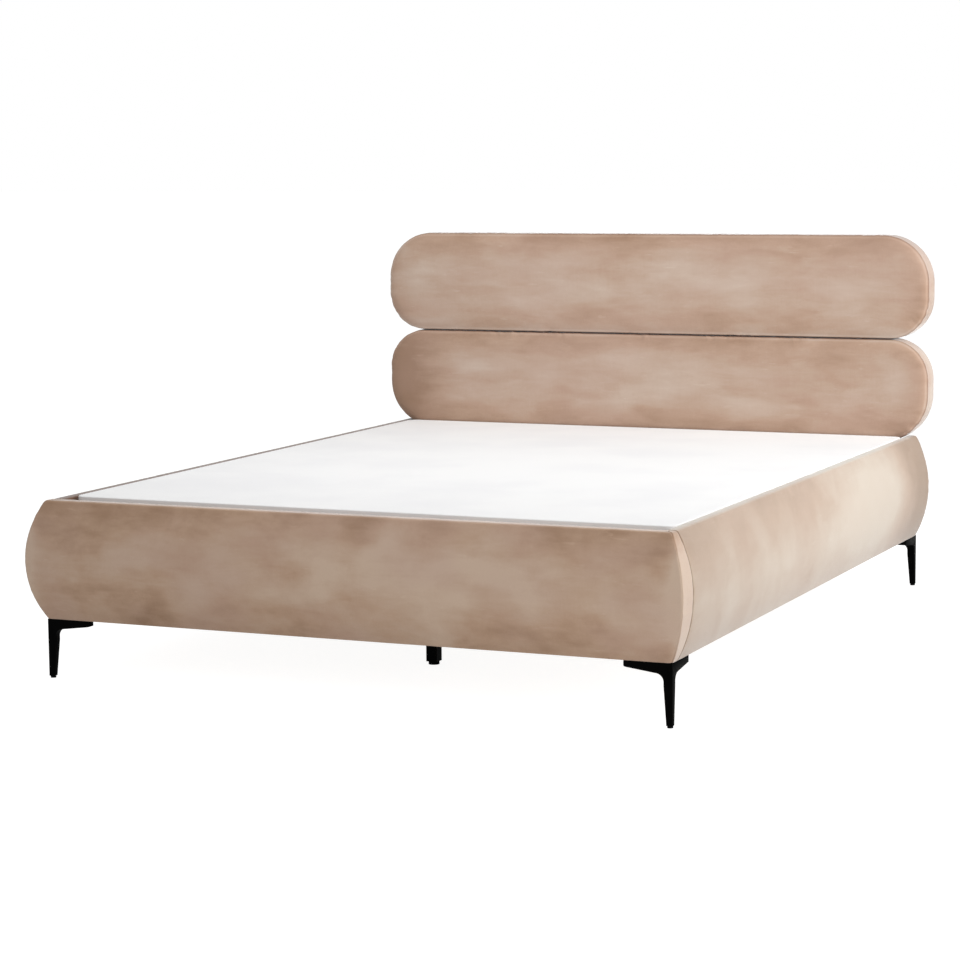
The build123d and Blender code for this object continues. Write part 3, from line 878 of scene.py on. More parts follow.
@dataclass(frozen=True)
class PaintedLightZone:
    """A stretch of a cover painted lighter or darker: painted light where light falls, painted shade where
    shade lies.
    """

    middle: Triple
    reach: Triple
    amount: float

    def at(self, points: np.ndarray) -> np.ndarray:
        """The zone's share of the tone at each point.

        Args:
            points: A row for each point.

        Returns:
            The amounts.
        """
        away = (points - np.array(self.middle)) / np.array(self.reach)
        return self.amount * np.exp(-(away ** 2).sum(axis=1))


@dataclass(frozen=True)
class Swell:
    """Slow unevenness of padding: its width, its height and what moves its pattern."""

    width: float
    height: float
    shift: float

    def at(self, points: np.ndarray, seed: float = 0.0) -> np.ndarray:
        """The unevenness at each point.

        Args:
            points: A row for each point.
            seed: The piece's own seed.

        Returns:
            Heights in metres.
        """
        return wave(points, self.width, seed + self.shift) * self.height


def rings_to_faces(rings: int, around: int) -> list:
    """Faces between closed rings of points.

    Args:
        rings: How many rings there are.
        around: Points in each ring.

    Returns:
        Four-sided faces.
    """
    faces = []
    for ring in range(rings - 1):
        start = ring * around
        following = start + around
        for step in range(around):
            after = (step + 1) % around
            faces.append((start + step, start + after, following + after, following + step))
    return faces


@dataclass
class RoundedOutline:
    """A rectangle with round corners, walked as a ring of points with their outward directions."""

    half_width: float
    half_height: float
    top_radius: float
    bottom_radius: float
    columns: int
    rows: int

    def ring(self) -> tuple[np.ndarray, np.ndarray]:
        """The outline's points and outward directions.

        The ring starts in the middle of the upper left corner's arc, runs along the top to the
        right, down, back along the bottom and up.

        Returns:
            Points and unit directions, each with two columns.
        """
        corners = ((-1, 1, self.top_radius), (1, 1, self.top_radius),
                   (1, -1, self.bottom_radius), (-1, -1, self.bottom_radius))
        points, directions = [], []
        for number in range(4):
            start = corners[number]
            stop = corners[(number + 1) % 4]
            count = self.columns if number % 2 == 0 else self.rows
            side_points, side_directions = self._side(start, stop, count)
            points.append(side_points)
            directions.append(side_directions)
        return np.concatenate(points), np.concatenate(directions)

    def _side(self, start: tuple, stop: tuple, count: int) -> tuple[np.ndarray, np.ndarray]:
        """One side, from the middle of one corner's arc to the middle of the next.

        Args:
            start: The first corner's signs and radius.
            stop: The second corner's signs and radius.
            count: How many points the side has.

        Returns:
            Points and directions, without the side's last point.
        """
        centres = [np.array([across * (self.half_width - radius), up * (self.half_height - radius)])
                   for across, up, radius in (start, stop)]
        middle = [math.atan2(corner[1], corner[0]) for corner in (start, stop)]
        turn = math.pi / 4
        straight = float(np.linalg.norm(centres[1] - centres[0]))
        lengths = (start[2] * turn, straight, stop[2] * turn)
        total = sum(lengths)
        points, directions = [], []
        for index in range(count):
            along = total * index / count
            if along < lengths[0]:
                angle = middle[0] - along / start[2]
                centre, radius = centres[0], start[2]
            elif along < lengths[0] + straight:
                angle = middle[0] - turn
                share = (along - lengths[0]) / straight
                centre = centres[0] + (centres[1] - centres[0]) * share
                radius = start[2] + (stop[2] - start[2]) * share
            else:
                angle = middle[1] + turn - (along - lengths[0] - straight) / stop[2]
                centre, radius = centres[1], stop[2]
            direction = np.array([math.cos(angle), math.sin(angle)])
            points.append(centre + direction * radius)
            directions.append(direction)
        return np.array(points), np.array(directions)

    def patch(self, ring: np.ndarray) -> np.ndarray:
        """Fills a ring with a grid of points.

        Args:
            ring: The ring's points, in the order of ring().

        Returns:
            The points inside it, row by row, without the ring itself.
        """
        n, m = self.columns, self.rows
        top = ring[0:n + 1]
        right = ring[n:n + m + 1]
        bottom = ring[n + m:2 * n + m + 1][::-1]
        left = np.concatenate([ring[2 * n + m:], ring[:1]])[::-1]
        u = np.linspace(0, 1, n + 1)[None, :, None]
        v = np.linspace(0, 1, m + 1)[:, None, None]
        blend = (1 - v) * top[None] + v * bottom[None] + (1 - u) * left[:, None] + u * right[:, None]
        corner = ((1 - u) * (1 - v) * top[0] + u * (1 - v) * top[-1]
                  + (1 - u) * v * bottom[0] + u * v * bottom[-1])
        grid = blend - corner
        return grid[1:-1, 1:-1].reshape(-1, ring.shape[1])

    def patch_faces(self, ring_first: int, inner_first: int) -> list:
        """Faces of a filled ring.

        Args:
            ring_first: The number of the ring's first point.
            inner_first: The number of the first point inside it.

        Returns:
            Four-sided faces.
        """
        n, m = self.columns, self.rows
        around = 2 * (n + m)
        index = np.zeros((m + 1, n + 1), int)
        index[1:-1, 1:-1] = inner_first + np.arange((m - 1) * (n - 1)).reshape(m - 1, n - 1)
        index[0, :] = ring_first + np.arange(n + 1)
        index[:, n] = ring_first + n + np.arange(m + 1)
        index[m, :] = (ring_first + n + m + np.arange(n + 1))[::-1]
        index[:, 0] = (ring_first + (2 * n + m + np.arange(m + 1)) % around)[::-1]
        faces = []
        for row in range(m):
            for column in range(n):
                faces.append((int(index[row, column]), int(index[row, column + 1]),
                              int(index[row + 1, column + 1]), int(index[row + 1, column])))
        return faces


@dataclass
class SoftBlock:
    """A padded block: an outline carried through a profile of insets and depths, filled at both ends."""

    outline: RoundedOutline
    profile: list[tuple[float, float]]
    placed: Callable[[np.ndarray, np.ndarray], np.ndarray]
    seam: int = 0

    def build(self, name: str) -> None:
        """Builds the mesh, and keeps where each of its points lies.

        inset is a point's distance from the outline, place its number in the profile (-1 in the
        first filling, len(profile) in the last), across its distance from the seam along the
        profile (below zero on the face) and base the outline's nearest point.

        Args:
            name: The mesh's name.
        """
        flat, directions = self.outline.ring()
        around = len(flat)
        steps = np.linalg.norm(np.diff(np.array(self.profile), axis=0), axis=1)
        lengths = np.concatenate([[0.0], np.cumsum(steps)])
        lengths -= lengths[self.seam]
        plane, depth, inset, place, across, base = [], [], [], [], [], []
        for number, (inward, back) in enumerate(self.profile):
            plane.append(flat - directions * inward)
            depth.append(np.full(around, back))
            inset.append(np.full(around, inward))
            place.append(np.full(around, number))
            across.append(np.full(around, lengths[number]))
            base.append(flat)
        faces = rings_to_faces(len(self.profile), around)
        count = around * len(self.profile)
        for number, end in ((0, -1), (len(self.profile) - 1, len(self.profile))):
            inner = self.outline.patch(plane[number])
            faces += self.outline.patch_faces(number * around, count)
            count += len(inner)
            inward = self._inset_of(inner)
            plane.append(inner)
            depth.append(np.full(len(inner), self.profile[number][1]))
            inset.append(inward)
            place.append(np.full(len(inner), end))
            further = np.maximum(inward - self.profile[number][0], 0)
            across.append(lengths[number] + (further if number else -further))
            base.append(inner)
        points = self.placed(np.concatenate(plane), np.concatenate(depth))
        self.mesh = mesh_from(name, points, faces)
        face_outwards(self.mesh)
        self.inset = np.concatenate(inset)
        self.place = np.concatenate(place)
        self.across = np.concatenate(across)
        self.base = np.concatenate(base)

    def _inset_of(self, points: np.ndarray) -> np.ndarray:
        """How far points lie inside the outline.

        Args:
            points: Points on the outline's plane.

        Returns:
            Their distances from the outline.
        """
        box = self.outline
        radius = np.where(points[:, 1] > 0, box.top_radius, box.bottom_radius)
        q = np.abs(points) - np.array([box.half_width, box.half_height]) + radius[:, None]
        outside = np.linalg.norm(np.maximum(q, 0), axis=1)
        inside = np.minimum(np.maximum(q[:, 0], q[:, 1]), 0)
        return radius - outside - inside


def dress(piece: bpy.types.Object, material: bpy.types.Material, body: Body,
          replaced: Iterable[str] = ()) -> bpy.types.Object:
    """Gives a finished piece its material and body, and hides the nodes that it stands for.

    Args:
        piece: The object.
        material: Its material.
        body: The body that carries it.
        replaced: Construction nodes that it stands for.

    Returns:
        The object.
    """
    piece.data.materials.clear()
    piece.data.materials.append(material)
    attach(piece, body.value)
    if replaced:
        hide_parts(*replaced)
    triangles = sum(len(face.vertices) - 2 for face in piece.data.polygons)
    log.info("%s: %d triangles, rides on %s", piece.name, triangles, body.value)
    return piece


# Headboard


@dataclass
class Bolster:
    """One padded bolster of the headboard: a crowned face, a seam and a boxing strip."""

    level: str
    top_round: float
    bottom_round: float
    velvet: bpy.types.Material
    seed: float
    zones: tuple[PaintedLightZone, ...] = ()
    crown: float = 8.0 * MM
    edge_share: float = 0.60
    edge_roll: float = 9.0 * MM
    face_spread: float = 52.0 * MM
    inner_inset: float = 72.0 * MM
    seam_depth: float = 2.9 * MM
    strip_start: float = 7.0 * MM
    strip_bulge: float = 0.9 * MM
    hem: float = 44.0 * MM
    pucker: float = 3.2 * MM
    pucker_reach: float = 12.0 * MM
    strip_pucker: float = 2.8 * MM
    strip_reach: float = 24.0 * MM
    # Painted light and shade: the boxing strip painted lighter, the face painted darker towards its outline,
    # and a painted highlight on both sides of the seam
    strip_band: float = 0.85
    light_inset: float = 0.62
    rim_light: float = 0.8
    rim_place: float = 8.0 * MM
    rim_width: float = 3.5 * MM
    # Painted shade: a dark line along the seam's groove, and a dark band this wide on each side of the joint
    # between the bolsters
    groove_place: float = 0.3 * MM
    groove_width: float = 3.8 * MM
    joint: float = 2.5 * MM
    fold: float = 15.0 * MM
    patch: float = 130.0 * MM
    swells: tuple[Swell, ...] = (Swell(190.0 * MM, 1.1 * MM, 12.0), Swell(75.0 * MM, 0.35 * MM, 15.0))
    columns: int = 176
    rows: int = 36
    drape: Drape = field(default_factory=lambda: Drape(spare=0.010, cap=4.5 * MM))

    def __post_init__(self) -> None:
        """Reads the bolster's place from its cover in the construction model."""
        self.cover = f"{self.level}_bolster_cover"
        low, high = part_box(self.cover)
        self.front = low.y
        self.back = high.y
        self.middle_z = (low.z + high.z) / 2
        half_height = (high.z - low.z) / 2
        self.joint_side = -1 if self.level == "upper" else 1
        self.outline = RoundedOutline(high.x, half_height, self.top_round * half_height,
                                      self.bottom_round * half_height, self.columns, self.rows)

    def crown_at(self, inset: np.ndarray | float) -> np.ndarray | float:
        """How far the face lies behind its highest part, in a narrow edge roll and a wide swell.

        Args:
            inset: The distance from the outline.

        Returns:
            The distance back from the front.
        """
        edge = self.edge_share * np.exp(-np.asarray(inset) / self.edge_roll)
        face = (1 - self.edge_share) * np.exp(-np.asarray(inset) / self.face_spread)
        return self.crown * (edge + face)

    def profile(self) -> tuple[list[tuple[float, float]], int]:
        """Insets and depths, from the face over the seam and the boxing strip to the hem.

        Returns:
            The profile's points, and the number of the seam's deepest point.
        """
        shares = (1.0, 0.86, 0.73, 0.61, 0.50, 0.40, 0.31, 0.235, 0.17, 0.12, 0.078, 0.046)
        points = [(self.inner_inset * share, float(self.crown_at(self.inner_inset * share)))
                  for share in shares]
        edge = self.crown
        deep = self.seam_depth / MM
        valley = ((1.4, -1.2), (0.5, 0.0), (0.9, 1.1), (deep, 1.9), (deep, 2.6), (0.8, 3.3),
                  (0.1, 4.6), (0.0, 7.0))
        points += [(inset * MM, edge + down * MM) for inset, down in valley]
        seam = len(shares) + 3
        depth = self.back - self.front
        strip = depth - edge - self.strip_start
        points += [(-self.strip_bulge * math.sin(math.pi * share), edge + self.strip_start + strip * share)
                   for share in (0.12, 0.25, 0.38, 0.52, 0.66, 0.79, 0.89)]
        points += [(0.3 * MM, depth - 2.2 * MM), (1.4 * MM, depth - 0.8 * MM), (3.4 * MM, depth - 0.1 * MM)]
        points += [(self.hem * share, depth) for share in (0.2, 0.4, 0.6, 0.8, 0.97)]
        points += [(self.hem, depth - 0.3 * MM), (self.hem, depth - 1.4 * MM),
                   (self.hem + 6 * MM, depth - 1.6 * MM)]
        return points, seam

    def build(self) -> None:
        """Builds and dresses the bolster."""
        def placed(plane: np.ndarray, depth: np.ndarray) -> np.ndarray:
            """Stands the outline's plane up behind the bolster's front.

            Args:
                plane: Points on the outline's plane.
                depth: How far they lie behind the front.

            Returns:
                Points in space.
            """
            return np.column_stack([plane[:, 0], self.front + depth, self.middle_z + plane[:, 1]])

        profile, seam = self.profile()
        block = SoftBlock(self.outline, profile, placed, seam)
        block.build(f"{self.level}_bolster")
        mesh, inset, place = block.mesh, block.inset, block.place
        points = points_of(mesh)
        face = place < 0
        points[face, 1] = self.front + self.crown_at(inset[face])
        set_points(mesh, points)
        on_face = place <= seam
        # Painted shade: the face is darker towards its outline, where its edge rolls into shade
        middle = np.clip(inset / (self.light_inset * self.outline.half_height), 0, 1)
        add_attribute(mesh, "across", block.across)
        add_attribute(mesh, "base_x", block.base[:, 0])
        add_attribute(mesh, "base_z", block.base[:, 1])
        # Painted light: the boxing strip lighter, the light zones, and a painted highlight along both sides
        # of the seam
        band = np.where(on_face, middle, self.strip_band) + sum(zone.at(points) for zone in self.zones)
        rim = np.exp(-((np.abs(block.across) - self.rim_place) / self.rim_width) ** 2)
        add_attribute(mesh, "band", band + self.rim_light * rim)
        piece = new_object(self.cover.replace("_cover", ""), mesh)
        self.drape.run(piece, np.where(place >= seam - 1, 1.0, 0.0))
        subdivide(piece)
        self.pucker_seams(piece.data)
        dress(piece, self.velvet, Body.FRAME, (self.cover, f"{self.level}_bolster_foam"))

    def pucker_seams(self, mesh: bpy.types.Mesh) -> None:
        """Adds the small folds that run from the seam into the face and the strip.

        Args:
            mesh: The finished mesh.
        """
        points = points_of(mesh)
        normals = normals_of(mesh)
        across = read_attribute(mesh, "across")
        base_x, base_z = read_attribute(mesh, "base_x"), read_attribute(mesh, "base_z")
        base = np.column_stack([base_x, across * 0.12, base_z])
        folds = wave(base, self.fold, self.seed) + 0.6 * wave(base, self.fold / 2, self.seed + 4)
        patchy = np.clip(0.30 + 1.5 * wave(base, self.patch, self.seed + 9), 0.04, 1.2)
        reach = self.pucker_reach * (1 + 1.5 * np.clip(wave(base, 55 * MM, self.seed + 2), 0, 1))
        depth = np.maximum(-across, 0)
        near = np.exp(-depth / reach) * (1 - np.exp(-depth / (3.0 * MM)))
        near *= np.clip(2 - depth / (30 * MM), 0, 1)
        if self.level == "lower":
            patchy = patchy * np.where(base[:, 2] > 0, 1.5, 1.0)
        lift = self.pucker * folds * patchy * near
        behind = np.maximum(across, 0)
        near_strip = np.exp(-behind / self.strip_reach) * (1 - np.exp(-behind / (4 * MM)))
        lift += self.strip_pucker * folds * near_strip * np.clip(patchy * 2, 0.3, 1.2)
        slow = sum(swell.at(points, self.seed) for swell in self.swells)
        lift += slow * (1 - np.exp(-depth / (18 * MM)))
        set_points(mesh, points + normals * lift[:, None])
        # Painted shade: the seam's groove and a band along the joint between the bolsters are painted dark
        groove = np.exp(-((across - self.groove_place) / self.groove_width) ** 2)
        shade = groove * np.clip(0.9 + 0.4 * wave(base, 40 * MM, self.seed + 21), 0.5, 1)
        joint_z = self.middle_z + self.joint_side * self.outline.half_height
        straight = np.abs(points[:, 0]) < self.outline.half_width - 0.7 * self.outline.half_height
        shade = np.maximum(shade, straight * np.exp(-((points[:, 2] - joint_z) / self.joint) ** 4))
        add_attribute(mesh, "seam_shade", shade)


# Frame upholstery


@dataclass
class BulgedSection:
    """The section of the padded rails: a D shape with rounded edges and a pocket for the board."""

    height: float
    bulge: float
    lip: float
    flap: float
    board: float
    top_foam: float
    inner_drop: float = 0.0
    fabric: float = 1.5 * MM
    board_gap: float = 0.4 * MM
    outer_top: float = 12.0 * MM
    inner_top: float = 7.0 * MM
    bottom: float = 3.0 * MM
    arc_steps: int = 34

    @property
    def radius(self) -> float:
        """The bulge's radius."""
        return ((self.height / 2) ** 2 + self.bulge ** 2) / (2 * self.bulge)

    @staticmethod
    def _corner(before: np.ndarray, corner: np.ndarray, after: np.ndarray, radius: float, steps: int) -> list:
        """Points round a corner.

        Args:
            before: A point that the outline comes from.
            corner: The sharp corner.
            after: A point that the outline goes to.
            radius: The corner's radius.
            steps: How many steps it takes.

        Returns:
            Points along the rounding.
        """
        come = (before - corner) / np.linalg.norm(before - corner)
        go = (after - corner) / np.linalg.norm(after - corner)
        half = math.acos(float(np.clip(come @ go, -1, 1))) / 2
        reach = radius / math.tan(half)
        first, last = corner + come * reach, corner + go * reach
        return [first * (1 - t) ** 2 + corner * 2 * t * (1 - t) + last * t ** 2
                for t in np.linspace(0, 1, steps + 1)]

    def loop(self) -> tuple[np.ndarray, int]:
        """The closed section, drawn with the corner line at zero and outwards as positive.

        Returns:
            Points with an outward and an upward distance, and how many of them are on the cover.
        """
        h = self.height
        centre = np.array([self.bulge - self.radius, h / 2])
        angles = np.linspace(-math.asin(h / 2 / self.radius), math.asin(h / 2 / self.radius), 200)
        arc = centre + self.radius * np.column_stack([np.cos(angles), np.sin(angles)])
        inner = -self.lip
        low_corner = self._corner(np.array([inner, 0.0]), arc[0], arc[8], self.bottom, 4)
        inner_top = h - self.inner_drop
        top_corner = self._corner(arc[-9], arc[-1], np.array([inner, inner_top]), self.outer_top, 6)
        in_corner = self._corner(np.array([0.0, h]), np.array([inner, inner_top]),
                                 np.array([inner, h - 50 * MM]), self.inner_top, 5)
        trimmed = arc[(arc[:, 1] > low_corner[-1][1] + 2 * MM) & (arc[:, 1] < top_corner[0][1] - 2 * MM)]
        chosen = trimmed[np.linspace(0, len(trimmed) - 1, self.arc_steps).round().astype(int)]
        start = np.array([inner + self.fabric, 0.0])
        outer = [start, start * 0.5 + low_corner[0] * 0.5]
        outer += low_corner + list(chosen) + top_corner
        outer += [top_corner[-1] * 0.5 + in_corner[0] * 0.5] + in_corner
        outer += [np.array([inner, z]) for z in np.linspace(in_corner[-1][1], h - self.flap, 12)[1:]]
        cover_points = len(outer)
        face = inner + self.fabric
        pocket_top = h - self.fabric - self.top_foam
        deep = face + self.board + self.board_gap
        outer += [np.array([face, h - self.flap]), np.array([face, pocket_top]), np.array([deep, pocket_top]),
                  np.array([deep, h / 2]), np.array([deep, self.fabric]), np.array([face, self.fabric])]
        return np.array(outer), cover_points


@dataclass(frozen=True)
class Station:
    """One ring of a padded run, with its distance from the nearest seam and how dark the painted shade at
    that seam is.
    """

    points: np.ndarray
    away: float
    shade: float = 0.0


@dataclass
class PaddedRun:
    """A padded section carried along stations, with rounded ends and puckers near its seams."""

    name: str
    section: BulgedSection
    stations: list[Station]
    velvet: bpy.types.Material
    seed: float
    replaced: tuple[str, ...]
    pucker: float = 2.4 * MM
    pucker_reach: float = 17.0 * MM
    edge_lift: float = 0.9 * MM
    edge_reach: float = 20.0 * MM
    # Painted light and shade: the bulge lightest at light_height of its height and darker above and below,
    # painted tones for the inner face and the top, and painted shade along the top
    light_height: float = 0.42
    inner_band: float = 0.30
    top_band: float = 0.30
    top_shade: float = 0.0
    top_reach: float = 12.0 * MM
    # Width of the painted shade along a seam
    groove_width: float = 2.2 * MM
    fold: float = 15.0 * MM
    fine_fold: float = 7.0 * MM
    patch: float = 60.0 * MM
    swells: tuple[Swell, ...] = (Swell(230.0 * MM, 1.2 * MM, 11.0), Swell(80.0 * MM, 0.35 * MM, 14.0))
    far: float = 0.3
    zones: tuple[PaintedLightZone, ...] = ()
    drape: Drape = field(default_factory=lambda: Drape(spare=0.003, cap=3.0 * MM, easing=30))

    def build(self) -> None:
        """Builds and dresses the run."""
        loop, cover_points = self.section.loop()
        around = len(loop)
        count = len(self.stations)
        points = np.concatenate([station.points for station in self.stations])
        faces = rings_to_faces(count, around)
        faces.append(tuple(range(around)))
        faces.append(tuple(range((count - 1) * around, count * around)))
        mesh = mesh_from(self.name, points, faces)
        face_outwards(mesh)
        divide_caps(mesh)
        heights = np.tile(loop[:, 1], count)
        outwards = np.tile(loop[:, 0], count)
        girth = np.concatenate([[0.0], np.cumsum(np.linalg.norm(np.diff(loop, axis=0), axis=1))])
        on_cover = np.tile(np.arange(around) < cover_points, count)
        bulging = on_cover & (outwards > 0.5 * MM)
        edge = np.minimum(heights, self.section.height - heights)
        run = np.repeat([station.away for station in self.stations], around)
        # Painted light and shade: lighter round light_height, darker towards the top and bottom of the bulge
        share = np.clip(heights / self.section.height, 0, 1)
        middle = 1 - np.abs(share - self.light_height) / (1 - self.light_height)
        add_attribute(mesh, "run", np.minimum(run, self.far))
        add_attribute(mesh, "girth", np.tile(girth, count))
        add_attribute(mesh, "edge", np.where(on_cover, edge, self.far))
        add_attribute(mesh, "cover", on_cover.astype(float))
        add_attribute(mesh, "ends", np.abs(2 * share - 1))
        add_attribute(mesh, "shade", np.repeat([station.shade for station in self.stations], around))
        # Painted tone of the top, and painted shade along it
        top = np.clip((heights - self.section.height) / self.top_reach + 2, 0, 1) * ~bulging
        plain = np.where(bulging, middle, self.inner_band)
        band = plain + top * (self.top_band - plain) + sum(zone.at(points) for zone in self.zones)
        add_attribute(mesh, "band", band)
        add_attribute(mesh, "top_shade", top * self.top_shade)
        piece = new_object(self.name, mesh)
        free = bulging & (edge > 12 * MM) & (run > 6 * MM)
        self.drape.run(piece, np.where(free, 0.0, 1.0))
        subdivide(piece)
        self.pucker_seams(piece.data)
        dress(piece, self.velvet, Body.FRAME, self.replaced)

    def pucker_seams(self, mesh: bpy.types.Mesh) -> None:
        """Adds folds near the upright seams and an uneven top edge.

        Args:
            mesh: The finished mesh.
        """
        points = points_of(mesh)
        normals = normals_of(mesh)
        run = read_attribute(mesh, "run")
        edge = read_attribute(mesh, "edge")
        cover = read_attribute(mesh, "cover")
        girth = read_attribute(mesh, "girth")
        side = np.sign(points[:, 0]) * 0.5
        seam_places = np.column_stack([girth, side, run * 0.18])
        folds = wave(seam_places, self.fold, self.seed)
        folds += 0.6 * wave(seam_places, self.fine_fold, self.seed + 3)
        near = np.exp(-run / self.pucker_reach) * (1 - np.exp(-run / (4 * MM)))
        patchy = np.clip(0.45 + 1.2 * wave(seam_places, self.patch, self.seed + 8), 0.1, 1.2)
        lift = self.pucker * folds * near * patchy
        along_edge = np.exp(-edge / self.edge_reach) * np.clip(wave(points, 110 * MM, self.seed + 5), 0, 1)
        lift += self.edge_lift * along_edge * wave(points, 24 * MM, self.seed + 6)
        slow = sum(swell.at(points, self.seed) for swell in self.swells)
        lift += slow * (1 - np.exp(-edge / (30 * MM)))
        lift *= cover > 0.99
        set_points(mesh, points + normals * lift[:, None])
        # Painted shade: seams are painted dark, most towards the top and bottom of a joint, and the top is
        # painted dark where top_shade asks
        ends = 0.25 + 0.75 * read_attribute(mesh, "ends") ** 2
        groove = np.exp(-(run / self.groove_width) ** 2) * read_attribute(mesh, "shade")
        add_attribute(mesh, "seam_shade", np.maximum(groove * ends, read_attribute(mesh, "top_shade")))


@dataclass
class FrameUpholstery:
    """The padded footboard and both side rails."""

    velvets: dict[str, bpy.types.Material]
    front_round: float = 4.5 * MM
    rear_round: float = 14.0 * MM
    step: float = 10.0 * MM
    side_flap: float = 180.0 * MM
    board: float = 18.0 * MM
    top_foam: float = 8.0 * MM
    core_inset: float = 10.0 * MM
    core_share: float = 0.97
    corner_reach: float = 12.0 * MM
    mitre_shade: float = 0.4
    return_shade: float = 0.6
    joint_shade: float = 0.9
    rail_seed: float = 3.0
    foot_seed: float = 7.0
    # Painted light and shade on the rails' tops: the left top painted dark for the shade between rail and
    # mattress, the right top painted light where the light falls
    top_bands: dict[Side, float] = field(default_factory=lambda: {Side.LEFT: -0.9, Side.RIGHT: 0.9})
    top_shades: dict[Side, float] = field(default_factory=lambda: {Side.LEFT: 0.85, Side.RIGHT: 0.0})
    inner_drops: dict[Side, float] = field(default_factory=lambda: {Side.LEFT: 4.0 * MM, Side.RIGHT: 0.0})
    # Distances from a seam and how far the cover is drawn in there, in millimetres
    mitre_groove: Groove = ((0.0, 2.9), (1.0, 2.2), (2.2, 0.9), (4.0, 0.0), (8.0, 0.0))
    joint_groove: Groove = ((3.6, 0.1), (1.8, 0.7), (0.7, 1.6), (0.0, 3.2))
    # Painted light and shade: the right rail lighter near its middle and darker towards the head, the
    # footboard's returns and the upper part of its front lighter where light falls
    rail_zones: tuple[PaintedLightZone, ...] = (
        PaintedLightZone((0.85, 0.50, 0.33), (0.5, 0.30, 0.17), 2.1),
        PaintedLightZone((0.85, 1.02, 0.28), (0.5, 0.22, 0.30), -2.1))
    foot_zones: tuple[PaintedLightZone, ...] = (
        PaintedLightZone((0.87, -1.04, 0.30), (0.030, 0.20, 0.30), 2.4),
        PaintedLightZone((-0.87, -1.04, 0.30), (0.030, 0.20, 0.30), 1.4),
        PaintedLightZone((0.25, -1.09, 0.345), (0.55, 0.20, 0.08), 0.9))

    def __post_init__(self) -> None:
        """Reads the frame's lines from the construction model."""
        low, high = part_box("side_rail_right_cover")
        _, foot_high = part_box("footboard_cover")
        leg_low, leg_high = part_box("corner_leg_front_right")
        self.rail_bottom = low.z
        self.height = high.z - low.z
        self.corner_x = leg_high.x
        self.foot_y = leg_low.y
        self.bulge = high.x - self.corner_x
        self.lip = self.corner_x - low.x
        self.rail_front = low.y
        self.rail_rear = high.y
        self.foot_inner = foot_high.y
        self.foot_depth = foot_high.y - self.foot_y

    def _section(self, depth: float, inner_drop: float = 0.0) -> BulgedSection:
        """A section with its inner face that far inside the corner line.

        Args:
            depth: The distance from the corner line to the inner face.
            inner_drop: How much lower the top is at the inner face.

        Returns:
            The section.
        """
        return BulgedSection(self.height, self.bulge, depth, self.side_flap, self.board, self.top_foam,
                             inner_drop)

    def _end_stations(self, length: float) -> tuple[np.ndarray, np.ndarray]:
        """Stations along a rail, closer together where its ends are rounded.

        Args:
            length: The rail's length.

        Returns:
            The stations, and how far the section draws in at each.
        """
        curve = np.array([0.0, 0.08, 0.25, 0.5, 0.8, 1.0, 1.6, 3.2])
        drawn = 1 - np.sqrt(np.clip(1 - (1 - np.clip(curve, 0, 1)) ** 2, 0, 1))
        first = curve * self.front_round
        last = length - curve[::-1] * self.rear_round
        count = int((last[0] - first[-1]) / self.step)
        middle = np.linspace(first[-1], last[0], count + 1)[1:-1]
        stations = np.concatenate([first, middle, last])
        inward = np.concatenate([drawn * self.front_round, np.zeros(len(middle)),
                                 drawn[::-1] * self.rear_round])
        return stations, inward

    def _drawn_in(self, loop: np.ndarray, cover_points: int, inward: float) -> np.ndarray:
        """Draws a section's outer and upper parts in near a rounded end, but not into the board.

        Args:
            loop: The section's points.
            cover_points: How many of them are on the cover.
            inward: How far it is drawn in.

        Returns:
            The moved points.
        """
        cover = np.arange(len(loop)) < cover_points
        outer = np.clip((loop[:, 0] + self.lip - self.board - 3 * MM) / (20 * MM), 0, 1) * cover
        upper = np.clip((loop[:, 1] - self.height) / (60 * MM) + 1, 0, 1) * cover
        lower = np.clip(1 - loop[:, 1] / (40 * MM), 0, 1) * outer
        moved = loop.copy()
        moved[:, 0] -= inward * outer
        moved[:, 1] -= min(inward, self.top_foam) * upper ** 2 - 0.5 * inward * lower
        return moved

    def side_rail(self, side: Side) -> None:
        """Builds one side rail.

        Args:
            side: The bed's side.
        """
        section = self._section(self.lip, self.inner_drops[side])
        loop, cover_points = section.loop()
        lengths, inward = self._end_stations(self.rail_rear - self.rail_front)
        stations = []
        for length, drawn in zip(lengths, inward):
            flat = self._drawn_in(loop, cover_points, drawn)
            points = np.column_stack([side.value * (self.corner_x + flat[:, 0]),
                                      np.full(len(flat), self.rail_front + length),
                                      self.rail_bottom + flat[:, 1]])
            shade = self.joint_shade if length < lengths[-1] / 2 else 0.0
            stations.append(Station(points, min(length, lengths[-1] - length), shade))
        name = f"side_rail_{side.name.lower()}"
        PaddedRun(f"{name}_upholstery", section, stations, self.velvets[name], self.rail_seed + side.value,
                  (f"{name}_cover", f"{name}_foam"), top_band=self.top_bands[side],
                  top_shade=self.top_shades[side], zones=self.rail_zones).build()

    def footboard(self) -> None:
        """Builds the footboard with both of its returns."""
        section = self._section(self.foot_depth)
        loop, _ = section.loop()
        out = loop[:, 0]
        core = np.array([0.0, self.foot_inner - self.core_inset, self.rail_bottom + self.height / 2])
        stations: list[Station] = []

